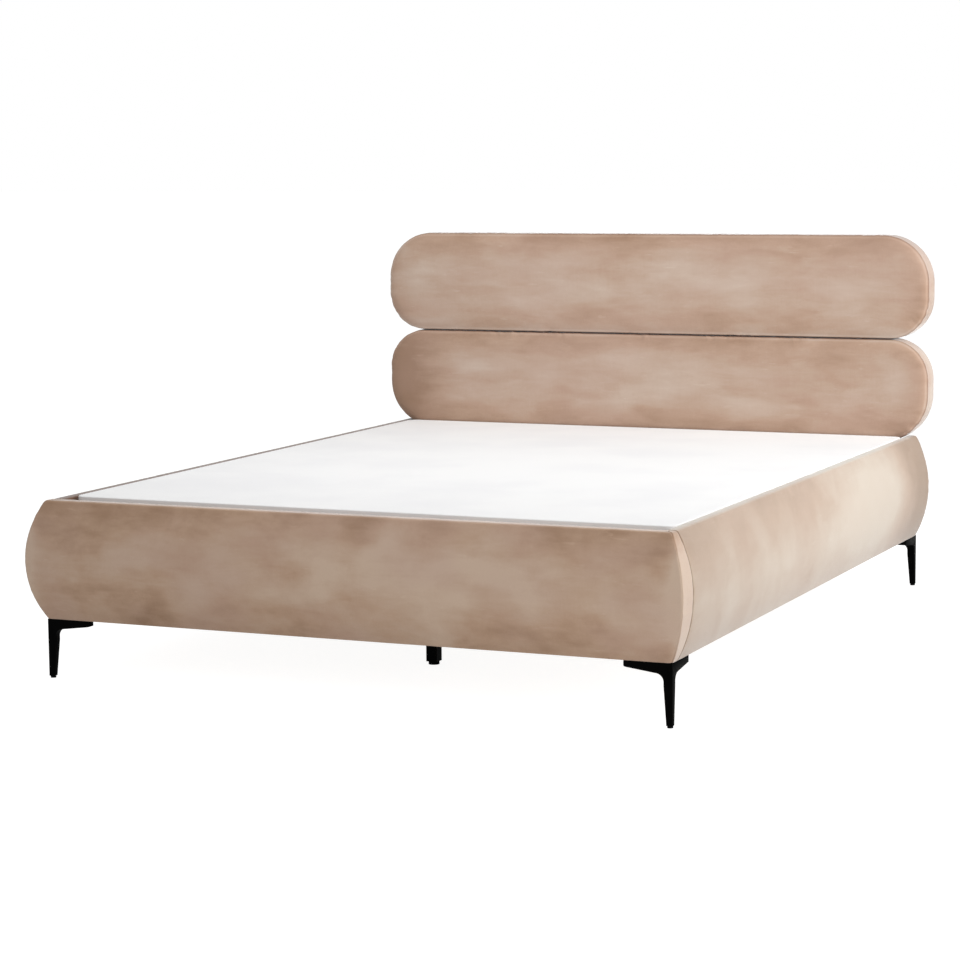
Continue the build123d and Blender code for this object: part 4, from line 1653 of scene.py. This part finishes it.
        def ring(x: np.ndarray, y: np.ndarray, away: float, drawn: float = 0.0,
                 shade: float = self.mitre_shade) -> None:
            """Adds a ring, drawn in towards the padding's core where it is sewn.

            Args:
                x: The X of each of its points.
                y: The Y of each of its points.
                away: The distance from the nearest seam.
                drawn: How far it is drawn in.
                shade: How dark that seam is.
            """
            points = np.column_stack([x, y, self.rail_bottom + loop[:, 1]])
            towards = points - (core + np.outer(points[:, 0], [1.0, 0.0, 0.0]) * self.core_share)
            size = np.linalg.norm(towards, axis=1, keepdims=True)
            stations.append(Station(points - towards / np.maximum(size, 1e-6) * drawn, away, shade))

        self._return(ring, out, Side.LEFT)
        straight = self.corner_x - self.corner_reach
        for x, away, drawn in self._corner(out, straight, Side.LEFT):
            ring(x, self.foot_y - out, away, drawn)
        for x in np.linspace(-straight, straight, int(2 * straight / self.step)):
            ring(np.full(len(out), x), self.foot_y - out, self.corner_x - abs(x))
        for x, away, drawn in self._corner(out, straight, Side.RIGHT):
            ring(x, self.foot_y - out, away, drawn)
        self._return(ring, out, Side.RIGHT)
        PaddedRun("footboard_upholstery", section, stations, self.velvets["footboard"], self.foot_seed,
                  ("footboard_cover", "footboard_foam"), zones=self.foot_zones).build()

    def _corner(self, out: np.ndarray, straight: float, side: Side) -> list[tuple[np.ndarray, float, float]]:
        """The rings between one mitre and the footboard's straight part, from left to right.

        Args:
            out: Outward distances of the section's points.
            straight: Half the straight part's length.
            side: The bed's side.

        Returns:
            Each ring's X, its distance from the seam and how far it is drawn in.
        """
        half = self.corner_x + out
        rings = [(side.value * (half - away * MM), away * MM, drawn * MM)
                 for away, drawn in self.mitre_groove]
        sewn = self.mitre_groove[-1][0] * MM
        for share in (0.35, 0.7):
            x = (half - sewn) * (1 - share) + straight * share
            rings.append((side.value * x, sewn + 10 * MM * share, 0.0))
        return rings if side is Side.LEFT else rings[::-1]

    def _return(self, ring: Callable, out: np.ndarray, side: Side) -> None:
        """Adds the rings of one return, between the mitre and the side rail.

        Args:
            ring: Adds one ring.
            out: Outward distances of the section's points.
            side: The bed's side.
        """
        x = side.value * (self.corner_x + out)
        mitre = self.foot_y - out
        steps = [(mitre + away * MM, away * MM, drawn * MM, self.mitre_shade)
                 for away, drawn in self.mitre_groove[1:]]
        start, stop = mitre + self.mitre_groove[-1][0] * MM, self.foot_inner - 4 * MM
        steps += [(start * (1 - share) + stop * share, 12 * MM, 0.0, self.return_shade)
                  for share in (0.3, 0.6, 0.85)]
        end = np.full(len(out), self.foot_inner)
        steps += [(end - away * MM, away * MM, drawn * MM, self.joint_shade)
                  for away, drawn in self.joint_groove]
        for y, away, drawn, shade in (steps if side is Side.RIGHT else steps[::-1]):
            ring(x, np.minimum(y, end), away, drawn, shade)

    def build(self) -> None:
        """Builds the footboard and both rails."""
        self.footboard()
        for side in Side:
            self.side_rail(side)


# Mattress


@dataclass
class Mattress:
    """The white mattress: a plain rounded edge, and a corded seam round its side."""

    ticking: bpy.types.Material
    corner: float = 30.0 * MM
    edge: float = 3.0 * MM
    seam_drop: float = 46.0 * MM
    cord: float = 1.6 * MM
    inner_inset: float = 26.0 * MM
    swell: Swell = Swell(260.0 * MM, 0.5 * MM, 21.0)
    sink: float = 0.4 * MM
    columns: int = 150
    rows: int = 190

    def profile(self, thickness: float) -> list[tuple[float, float]]:
        """Insets and depths from the upper panel down the side to the lower panel.

        Args:
            thickness: The mattress's thickness.

        Returns:
            The profile's points.
        """
        rounding = [(self.edge * (1 - math.sin(a)), self.edge * (1 - math.cos(a)))
                    for a in np.linspace(0, math.pi / 2, 7)]
        upper = [(self.inner_inset, 0.0), (self.inner_inset * 0.66, 0.0)] + rounding
        cord = [(0.9, -4.0), (1.3, -1.6), (0.0, -0.8), (-0.2, 0.0), (0.0, 0.8), (1.3, 1.6), (0.9, 4.0)]
        seams = []
        for level in (self.seam_drop, thickness - self.seam_drop):
            seams.append([(inset * self.cord, level + down * self.cord) for inset, down in cord])
        slack = 0.5 * MM
        above = [(slack * share, self.seam_drop * share) for share in (0.45, 0.65, 0.82)]
        middle_high, middle_low = seams[0][-1][1], seams[1][0][1]
        middle = [(slack, middle_high + (middle_low - middle_high) * share)
                  for share in (0.15, 0.38, 0.62, 0.85)]
        below = [(inset, thickness - down) for inset, down in above[::-1]]
        lower = [(inset, thickness - down) for inset, down in upper[::-1]]
        return upper + above + seams[0] + middle + seams[1] + below + lower

    def build(self) -> None:
        """Builds and dresses the mattress."""
        low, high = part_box("mattress_cover")
        middle = (low + high) / 2
        half_length = (high.y - low.y) / 2
        outline = RoundedOutline(high.x, half_length, self.corner, self.corner, self.columns, self.rows)

        def placed(plane: np.ndarray, depth: np.ndarray) -> np.ndarray:
            """Lays the outline's plane down below the mattress's top.

            Args:
                plane: Points on the outline's plane.
                depth: How far they lie below the top.

            Returns:
                Points in space.
            """
            return np.column_stack([plane[:, 0], middle.y + plane[:, 1], high.z - depth])

        block = SoftBlock(outline, self.profile(high.z - low.z), placed)
        block.build("mattress")
        mesh = block.mesh
        points = points_of(mesh)
        plain = block.inset > self.inner_inset * 0.7
        lift = self.swell.at(points) - self.sink
        points[plain, 2] += lift[plain] * np.sign(points[plain, 2] - middle.z)
        set_points(mesh, points)
        piece = new_object("mattress", mesh)
        dress(piece, self.ticking, Body.MATTRESS, ("mattress_cover", "mattress_core"))


# Lining, webbing and staples


class GeometryTree:
    """A Geometry Nodes tree under construction, with named inputs."""

    def __init__(self, name: str) -> None:
        """Makes an empty tree with a mesh going in and out.

        Args:
            name: The tree's name.
        """
        self.group = bpy.data.node_groups.new(name, "GeometryNodeTree")
        self.group.interface.new_socket("Mesh", in_out="INPUT", socket_type="NodeSocketGeometry")
        self.group.interface.new_socket("Mesh", in_out="OUTPUT", socket_type="NodeSocketGeometry")
        self.inside = self.group.nodes.new("NodeGroupInput")
        self.identifiers: dict[str, str] = {}

    def value(self, name: str, kind: str) -> bpy.types.NodeSocket:
        """Adds a named input.

        Args:
            name: Its name.
            kind: Its socket type.

        Returns:
            The socket inside the tree.
        """
        socket = self.group.interface.new_socket(name, in_out="INPUT", socket_type=kind)
        self.identifiers[name] = socket.identifier
        return self.inside.outputs[name]

    def node(self, kind: str, settings: dict | None = None, values: dict | None = None) -> bpy.types.Node:
        """Adds one node.

        Args:
            kind: The node's type.
            settings: Its properties, set first.
            values: Values or links of its sockets, by name or number.

        Returns:
            The new node.
        """
        made = self.group.nodes.new(kind)
        for key, value in (settings or {}).items():
            setattr(made, key, value)
        for key, value in (values or {}).items():
            if isinstance(value, bpy.types.NodeSocket):
                self.group.links.new(value, made.inputs[key])
            else:
                made.inputs[key].default_value = value
        return made

    def end(self, geometry: bpy.types.NodeSocket, material: bpy.types.Material) -> None:
        """Ends the tree with real geometry in one material.

        Args:
            geometry: What the tree has made.
            material: Its material.
        """
        real = self.node("GeometryNodeRealizeInstances", None, {"Geometry": geometry})
        values = {"Geometry": real.outputs[0], "Material": material}
        painted = self.node("GeometryNodeSetMaterial", None, values)
        out = self.group.nodes.new("NodeGroupOutput")
        self.group.links.new(painted.outputs[0], out.inputs[0])

    def apply(self, piece: bpy.types.Object, values: dict) -> None:
        """Runs the tree on an object and keeps the result as its plain mesh.

        Args:
            piece: The object.
            values: The named inputs' values.
        """
        modifier = piece.modifiers.new(self.group.name, "NODES")
        modifier.node_group = self.group
        for name, value in values.items():
            modifier[self.identifiers[name]] = value
        apply_modifiers(piece)


@dataclass
class StapleRow:
    """Wire staples driven at an even pitch along a path."""

    steel: bpy.types.Material
    pivot: str
    crown: float = 10.0 * MM
    wire: float = 0.9 * MM
    bite: float = 0.5 * MM

    def tree(self) -> GeometryTree:
        """Builds the tree: the path is resampled, and each point gets a staple turned along it.

        Returns:
            The tree.
        """
        tree = GeometryTree("staple_row")
        crown = tree.value("Crown", "NodeSocketFloat")
        wire = tree.value("Wire", "NodeSocketFloat")
        pitch = tree.value("Pitch", "NodeSocketFloat")
        bite = tree.value("Bite", "NodeSocketVector")
        along = tree.value("Along", "NodeSocketVector")
        follows = tree.value("Follows path", "NodeSocketBool")
        path = tree.node("GeometryNodeMeshToCurve", None, {"Mesh": tree.inside.outputs["Mesh"]})
        spaced = tree.node("GeometryNodeResampleCurve", {"mode": "LENGTH"}, {
            "Curve": path.outputs[0], "Length": pitch})
        half = tree.node("ShaderNodeMath", {"operation": "MULTIPLY"}, {0: crown, 1: 0.5})
        ends = tree.node("ShaderNodeCombineXYZ", None, {"X": half.outputs[0]})
        start = tree.node("ShaderNodeVectorMath", {"operation": "SUBTRACT"}, {0: bite, 1: ends.outputs[0]})
        stop = tree.node("ShaderNodeVectorMath", {"operation": "ADD"}, {0: bite, 1: ends.outputs[0]})
        lift = tree.node("ShaderNodeVectorMath", {"operation": "SCALE"}, {0: bite, "Scale": -1.0})
        bow = tree.node("GeometryNodeCurveQuadraticBezier", None, {
            "Resolution": 4, "Start": start.outputs[0], "Middle": lift.outputs[0], "End": stop.outputs[0]})
        round_wire = tree.node("GeometryNodeCurvePrimitiveCircle", {"mode": "RADIUS"}, {"Resolution": 5})
        radius = tree.node("ShaderNodeMath", {"operation": "MULTIPLY"}, {0: wire, 1: 0.5})
        profile = tree.node("GeometryNodeTransform", None, {"Geometry": round_wire.outputs[0]})
        size = tree.node("ShaderNodeCombineXYZ", None, {
            "X": radius.outputs[0], "Y": radius.outputs[0], "Z": radius.outputs[0]})
        tree.group.links.new(size.outputs[0], profile.inputs["Scale"])
        staple = tree.node("GeometryNodeCurveToMesh", None, {
            "Curve": bow.outputs[0], "Profile Curve": profile.outputs[0], "Fill Caps": True})
        tangent = tree.node("GeometryNodeInputTangent")
        facing = tree.node("GeometryNodeSwitch", {"input_type": "VECTOR"}, {
            "Switch": follows, "False": along, "True": tangent.outputs[0]})
        turn = tree.node("FunctionNodeAlignRotationToVector", {"axis": "X", "pivot_axis": self.pivot}, {
            "Vector": facing.outputs[0]})
        placed = tree.node("GeometryNodeInstanceOnPoints", None, {
            "Points": spaced.outputs[0], "Instance": staple.outputs[0], "Rotation": turn.outputs[0]})
        tree.end(placed.outputs[0], self.steel)
        return tree

    def build(self, name: str, points: np.ndarray, closed: bool, pitch: float, into: Triple,
              along: Triple | None) -> None:
        """Drives staples along a path.

        Args:
            name: The piece's name.
            points: The path's points.
            closed: Whether the path meets itself.
            pitch: The distance between staples.
            into: The unit direction that their ends are driven in.
            along: The direction of their crowns, or nothing if they follow the path.
        """
        count = len(points)
        edges = [(i, i + 1) for i in range(count - 1)] + ([(count - 1, 0)] if closed else [])
        mesh = bpy.data.meshes.new(name)
        mesh.from_pydata([tuple(p) for p in points], edges, [])
        piece = new_object(name, mesh)
        self.tree().apply(piece, {
            "Crown": self.crown, "Wire": self.wire, "Pitch": pitch, "Bite": [self.bite * c for c in into],
            "Along": list(along or (1.0, 0.0, 0.0)), "Follows path": along is None})
        piece.data.shade_smooth()
        dress(piece, self.steel, Body.FRAME)


@dataclass
class HeadboardBack:
    """The black lining on each bolster's back, stapled all round."""

    lining: bpy.types.Material
    steel: bpy.types.Material
    levels: dict[str, tuple[float, float]]
    inset: float = 30.0 * MM
    thickness: float = 1.0 * MM
    staple_inset: float = 7.0 * MM
    pitch: float = 36.0 * MM
    pull: float = 0.45 * MM
    ripple: float = 70.0 * MM
    slack: float = 210.0 * MM
    slack_reach: float = 30.0 * MM
    scallop: float = 22.0 * MM
    scallop_reach: float = 12.0 * MM
    columns: int = 120
    rows: int = 24

    def _outline(self, level: str, inset: float) -> tuple[RoundedOutline, float]:
        """The sheet's outline, drawn further in.

        Args:
            level: Which bolster.
            inset: The distance inside the bolster's outline.

        Returns:
            The outline and the height of its middle.
        """
        low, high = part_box(f"{level}_bolster_cover")
        half = (high.z - low.z) / 2
        top, bottom = (share * half - inset for share in self.levels[level])
        outline = RoundedOutline(high.x - inset, half - inset, top, bottom, self.columns, self.rows)
        return outline, (low.z + high.z) / 2

    def sheet(self, level: str) -> None:
        """Builds one sheet and its staples.

        Args:
            level: Which bolster.
        """
        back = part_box("headboard_lining")[1].y
        outline, middle_z = self._outline(level, self.inset)
        edge = self.thickness / 2
        profile = [(16 * MM, 0.0), (6 * MM, 0.0), (1.2 * MM, 0.0), (0.0, edge), (1.2 * MM, 2 * edge),
                   (6 * MM, 2 * edge), (16 * MM, 2 * edge)]

        def placed(plane: np.ndarray, depth: np.ndarray) -> np.ndarray:
            """Stands the outline's plane up at the headboard's back.

            Args:
                plane: Points on the outline's plane.
                depth: How far they lie in front of the sheet's back.

            Returns:
                Points in space.
            """
            return np.column_stack([plane[:, 0], back - depth, middle_z + plane[:, 1]])

        block = SoftBlock(outline, profile, placed)
        block.build(f"{level}_bolster_lining")
        points = points_of(block.mesh)
        upright = points * np.array([1.0, 0.0, 1.0])
        loose = 1 - np.exp(-block.inset / self.slack_reach)
        ripple = wave(upright, self.ripple, 31.0) + wave(points, self.slack, 33.0)
        scallop = np.exp(-block.inset / self.scallop_reach) * wave(upright, self.scallop, 35.0)
        points[:, 1] += self.pull * (0.7 * ripple * loose + 0.6 * scallop)
        set_points(block.mesh, points)
        piece = dress(new_object(f"{level}_bolster_lining", block.mesh), self.lining, Body.FRAME,
                      ("headboard_lining",))
        width, height = 2 * outline.half_width, 2 * outline.half_height
        cut_away = (1 - math.pi / 4) * 2 * (outline.top_radius ** 2 + outline.bottom_radius ** 2)
        width * height - cut_away
        row, _ = self._outline(level, self.inset + self.staple_inset)
        ring, _ = row.ring()
        path = np.column_stack([ring[:, 0], np.full(len(ring), back + 0.1 * MM), middle_z + ring[:, 1]])
        StapleRow(self.steel, "Y").build(f"{level}_lining_staples", path, True, self.pitch,
                                         (0.0, -1.0, 0.0), None)

    def build(self) -> None:
        """Builds both sheets."""
        for level in self.levels:
            self.sheet(level)


@dataclass
class SlatWebbing:
    """Two bands under the slats that keep them apart, with two staples in each slat."""

    webbing: bpy.types.Material
    steel: bpy.types.Material
    width: float = 25.0 * MM
    sag: float = 1.4 * MM
    cell: float = 5.0 * MM
    staple_spread: float = 24.0 * MM

    def _slats(self) -> list[tuple[float, float]]:
        """Each slat's front and rear edge."""
        names = sorted(name for name in frame["nodes"] if name.startswith("slat_") and name[5:].isdigit())
        return [(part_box(name)[0].y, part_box(name)[1].y) for name in names]

    def band(self, side: Side) -> None:
        """Builds one band and its staples.

        Args:
            side: The bed's side.
        """
        low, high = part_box("slat_webbing")
        slats = self._slats()
        slat_width = slats[0][1] - slats[0][0]
        inner = min(abs(low.x), abs(high.x)) - self.width
        half = (high.x - inner) / 2
        middle = side.value * (inner + half)
        thickness = high.z - low.z
        rows = int((high.y - low.y) / self.cell)
        y = np.linspace(low.y, high.y, rows + 1)
        pitch = slats[1][0] - slats[0][0]
        phase = (y - slats[0][0]) % pitch
        gap = np.clip((phase - slat_width) / (pitch - slat_width), 0, 1)
        sag = self.sag * np.sin(math.pi * gap) ** 2
        across = np.array([-1.0, -0.94, -0.5, 0.0, 0.5, 0.94, 1.0]) * half
        under = np.array([0.5, 1.0, 1.0, 1.0, 1.0, 1.0, 0.5]) * thickness
        ring_x = middle + np.concatenate([across, across[-2:0:-1]])
        ring_z = np.concatenate([-under, np.zeros(len(across) - 2)])
        rings = [np.column_stack([ring_x, np.full(len(ring_x), place), high.z + ring_z - drop])
                 for place, drop in zip(y, sag)]
        points = np.concatenate(rings)
        around = len(ring_x)
        faces = rings_to_faces(len(y), around)
        faces += [tuple(range(around)), tuple(range(rows * around, (rows + 1) * around))]
        name = f"slat_webbing_{side.name.lower()}"
        mesh = mesh_from(name, points, faces)
        face_outwards(mesh)
        piece = dress(new_object(name, mesh), self.webbing, Body.FRAME, ("slat_webbing",))
        2 * half
        slat_middle = (slats[0][0] + slats[0][1]) / 2
        for number, shift in enumerate((-self.staple_spread / 2, self.staple_spread / 2), start=1):
            path = np.array([(middle, slat_middle + shift + pitch * index, low.z - 0.1 * MM)
                             for index in range(len(slats))])
            StapleRow(self.steel, "Z").build(f"{name}_staples_{number}", path, False, pitch,
                                             (0.0, 0.0, 1.0), (1.0, 0.0, 0.0))

    def build(self) -> None:
        """Builds both bands."""
        for side in Side:
            self.band(side)


# Hard parts


@dataclass
class HardParts:
    """Boards, slats, legs and fittings, which keep the construction model's shapes."""

    finishes: dict[Slot, bpy.types.Material]
    turned: dict[str, bpy.types.Material]
    weld: float = 0.01 * MM
    leg_bevel: float = 2.4 * MM
    bevel_segments: int = 3
    bevel_angle: float = math.radians(28)
    flat_angle: float = math.radians(1.0)

    def paint_nodes(self) -> None:
        """Gives each node that still shows its finish."""
        for part in frame["record"]["subparts"]:
            node = frame["nodes"][part["node"]]
            if node.hide_render:
                continue
            node.data.materials.clear()
            turned = [material for start, material in self.turned.items() if part["node"].startswith(start)]
            node.data.materials.append(turned[0] if turned else self.finishes[Slot(part["material_slot"])])
            log.info("%s: finished in %s", part["node"], part["material_slot"])

    def soften_leg(self, node: str) -> None:
        """Makes a copy of a leg with rounded edges, which stands for it.

        Args:
            node: The leg's node.
        """
        mesh = frame["nodes"][node].data.copy()
        work = bmesh.new()
        work.from_mesh(mesh)
        bmesh.ops.remove_doubles(work, verts=work.verts, dist=self.weld)
        bmesh.ops.dissolve_limit(work, angle_limit=self.flat_angle, verts=work.verts, edges=work.edges)
        work.to_mesh(mesh)
        work.free()
        piece = new_object(f"{node}_cast", mesh)
        bevel = piece.modifiers.new("bevel", "BEVEL")
        bevel.width = self.leg_bevel
        bevel.segments = self.bevel_segments
        bevel.limit_method = "ANGLE"
        bevel.angle_limit = self.bevel_angle
        bevel.harden_normals = True
        apply_modifiers(piece)
        piece.data.shade_smooth()
        dress(piece, self.finishes[Slot.CAST_METAL], Body.FRAME, (node,))

    def build(self) -> None:
        """Builds the legs and paints the rest."""
        for end in End:
            for side in Side:
                self.soften_leg(f"corner_leg_{end.name.lower()}_{side.name.lower()}")
        self.paint_nodes()


# Studio


@dataclass(frozen=True)
class Lamp:
    """A soft box: where it stands, what it points at, its width and height, and its power in watts."""

    name: str
    place: Triple
    target: Triple
    size: tuple[float, float]
    power: float

    def build(self) -> None:
        """Adds the lamp to the scene."""
        data = bpy.data.lights.new(self.name, "AREA")
        data.shape = "RECTANGLE"
        data.size, data.size_y = self.size
        data.energy = self.power
        lamp = bpy.data.objects.new(self.name, data)
        lamp.location = self.place
        lamp.rotation_mode = "QUATERNION"
        lamp.rotation_quaternion = (Vector(self.target) - Vector(self.place)).to_track_quat("-Z", "Y")
        bpy.context.scene.collection.objects.link(lamp)


@dataclass
class Studio:
    """A pale floor, soft lamps and the camera at the photograph's angle."""

    camera_place: Triple = (2.87389, -6.77603, 1.32518)
    yaw: float = 0.415061
    pitch: float = 0.123752
    roll: float = -0.009554
    lens: float = 101.97
    sensor: float = 36.0
    ambient: float = 0.36
    floor_white: float = 0.93
    floor_shadow: float = 0.36
    floor_grey: float = 0.80
    floor_half: float = 60.0
    lamps: tuple[Lamp, ...] = (
        Lamp("key", (3.5, 0.45, 1.8), (0.85, 0.40, 0.35), (1.7, 1.7), 91),
        Lamp("headboard_light", (-0.2, -0.7, 2.7), (-0.2, 0.95, 0.55), (2.4, 1.2), 11.5),
        Lamp("mattress_light", (-0.6, 0.0, 2.6), (-0.45, 0.2, 0.45), (1.2, 1.6), 13),
        Lamp("front", (1.4, -4.4, 2.0), (0.5, -1.1, 0.35), (2.4, 1.8), 41))

    def camera(self) -> None:
        """Makes the camera."""
        forward = Vector((-math.sin(self.yaw) * math.cos(self.pitch),
                          math.cos(self.yaw) * math.cos(self.pitch), -math.sin(self.pitch)))
        level = Vector((math.cos(self.yaw), math.sin(self.yaw), 0.0))
        up = level.cross(forward)
        right = math.cos(self.roll) * level + math.sin(self.roll) * up
        top = -math.sin(self.roll) * level + math.cos(self.roll) * up
        turn = Matrix((right, top, -forward)).transposed()
        data = bpy.data.cameras.new("camera")
        data.lens = self.lens
        data.sensor_width = self.sensor
        camera = bpy.data.objects.new("camera", data)
        camera.matrix_world = Matrix.Translation(self.camera_place) @ turn.to_4x4()
        bpy.context.scene.collection.objects.link(camera)
        bpy.context.scene.camera = camera

    def world(self) -> None:
        """Lights the scene evenly and shows white behind the object."""
        tree = ShaderTree("studio", world=True)
        soft = tree.node("ShaderNodeBackground", None, {"Color": (1, 1, 1, 1), "Strength": self.ambient})
        white = tree.node("ShaderNodeBackground", None, {"Color": (1, 1, 1, 1), "Strength": 1.0})
        sides = {0: tree.backdrop_rays(), 1: soft.out(), 2: white.out()}
        mixed = tree.node("ShaderNodeMixShader", None, sides)
        tree.node("ShaderNodeOutputWorld", None, {"Surface": mixed.out()})
        bpy.context.scene.world = tree.holder

    def floor(self) -> None:
        """Lays a large white floor that keeps a faint shadow."""
        half = self.floor_half
        corners = np.array([(-half, -half, 0), (half, -half, 0), (half, half, 0), (-half, half, 0)], float)
        piece = new_object("floor", mesh_from("floor", corners, [(0, 1, 2, 3)]))
        tree = ShaderTree("floor")
        matte = tree.node("ShaderNodeBsdfDiffuse", None, {"Color": (*(self.floor_grey,) * 3, 1.0)})
        faint = tree.node("ShaderNodeBsdfDiffuse", None, {"Color": (*(self.floor_shadow,) * 3, 1.0)})
        white = tree.node("ShaderNodeEmission", None, {"Color": (1, 1, 1, 1), "Strength": self.floor_white})
        shown = tree.node("ShaderNodeAddShader", None, {0: faint.out(), 1: white.out()})
        sides = {0: tree.backdrop_rays(), 1: matte.out(), 2: shown.out()}
        mixed = tree.node("ShaderNodeMixShader", None, sides)
        tree.node("ShaderNodeOutputMaterial", None, {"Surface": mixed.out()})
        piece.data.materials.append(tree.holder)

    def build(self) -> None:
        """Sets up the whole studio."""
        bpy.context.scene.view_settings.view_transform = "Standard"
        self.camera()
        self.world()
        self.floor()
        for lamp in self.lamps:
            lamp.build()


def make_finishes() -> dict[Slot, bpy.types.Material]:
    """Makes one material for each of the record's slots.

    Returns:
        Materials by slot.
    """
    return {
        Slot.VELVET: Velvet().build(),
        Slot.FOAM: OpenFoam().build(),
        Slot.TICKING: Ticking().build(),
        Slot.LINING: Fleece("lining", linear(38, 38, 40), linear(24, 24, 26)).build(),
        Slot.WEBBING: Fleece("webbing", linear(226, 222, 212), linear(204, 198, 186), ribbed=True).build(),
        Slot.PINE: Timber("pine", *PINE, Grain.ACROSS).build(),
        Slot.PLYWOOD: Timber("plywood", *PLYWOOD, Grain.ACROSS, False).build(),
        Slot.FRAME_BOARD: Timber("frame_board", *FRAME_BOARD, Grain.ALONG, False).build(),
        Slot.CAST_METAL: PaintedMetal("black_cast_metal").build(),
        Slot.BLACK_STEEL: PaintedMetal("black_steel", roughness=0.42).build(),
        Slot.ZINC_STEEL: ZincSteel().build(),
        Slot.PLASTIC: PaintedMetal("black_plastic", linear(28, 28, 29), roughness=0.5, coat=0.0).build(),
    }


def make_turned_timbers() -> dict[str, bpy.types.Material]:
    """Makes the timbers whose grain runs another way than the rest of their slot.

    Returns:
        Materials by the start of the nodes' names.
    """
    upright = Timber("pine_upright", *PINE, Grain.UP).build()
    long_pine = Timber("pine_long", *PINE, Grain.ALONG).build()
    board = Timber("frame_board_across", *FRAME_BOARD, Grain.ACROSS, False).build()
    return {"headboard_upright": upright, "side_ledger": long_pine, "centre_beam": long_pine,
            "head_end_board": board, "footboard_board": board}


def make_rail_velvets() -> dict[str, bpy.types.Material]:
    """Makes the velvet of the footboard and the rails, whose nap is drawn in other directions. Their
    colours are painted light: paler and more neutral on the rails, where the key light falls on their
    sides, and warmer on the footboard, set to how its front is lit.

    Returns:
        Materials by the name of the upholstered part.
    """
    # Lit copy: paler, more neutral stops and a lighter tone, painted light for the rails' lit sides
    rail = Velvet("velvet_side_rail", linear(200, 186, 170), linear(182, 158, 138), linear(156, 130, 108),
                  drawn=(1.0, 0.9, 0.75), patch_scale=3.0, wide=0.30, clouds=0.30, streaks=0.14,
                  blush_share=0.05, brush=0.12, painted_light_strength=0.22, tone_shift=0.05)
    # Warmer stops for the footboard, painted to how its front is lit
    foot = Velvet("velvet_footboard", linear(208, 184, 163), linear(192, 161, 137), linear(163, 131, 106),
                  drawn=(0.75, 0.8, 1.2), patch_scale=3.4, wide=0.55, clouds=0.85, streaks=0.36,
                  blush_share=0.30, painted_light_strength=0.32)
    side = rail.build()
    return {"footboard": foot.build(), "side_rail_left": side, "side_rail_right": side}


def main() -> None:
    """Builds the bed's looks and the studio."""
    finishes = make_finishes()
    rounds = {"upper": (0.92, 0.78), "lower": (0.78, 0.92)}
    # Painted light and shade on the bolsters: the upper one lighter at its left end and low down and darker
    # along its top, the lower one darker at its left end and lighter on its right boxing strip
    end_zones = {"upper": (PaintedLightZone((-0.82, 1.03, 0.90), (0.16, 1.0, 0.30), 0.5),
                           PaintedLightZone((0.0, 1.03, 1.04), (1.6, 1.0, 0.035), -0.45),
                           PaintedLightZone((0.0, 1.03, 0.74), (1.6, 1.0, 0.035), 0.8)),
                 "lower": (PaintedLightZone((-0.82, 1.03, 0.50), (0.13, 1.0, 0.25), -1.8),
                           PaintedLightZone((0.87, 1.085, 0.52), (0.06, 0.035, 0.25), 1.2))}
    for seed, level in enumerate(rounds, start=1):
        Bolster(level, *rounds[level], finishes[Slot.VELVET], float(seed), end_zones[level]).build()
    HeadboardBack(finishes[Slot.LINING], finishes[Slot.ZINC_STEEL], rounds).build()
    FrameUpholstery(make_rail_velvets()).build()
    SlatWebbing(finishes[Slot.WEBBING], finishes[Slot.ZINC_STEEL]).build()
    Mattress(finishes[Slot.TICKING]).build()
    HardParts(finishes, make_turned_timbers()).build()
    Studio().build()


if __name__ == "__main__":
    main()
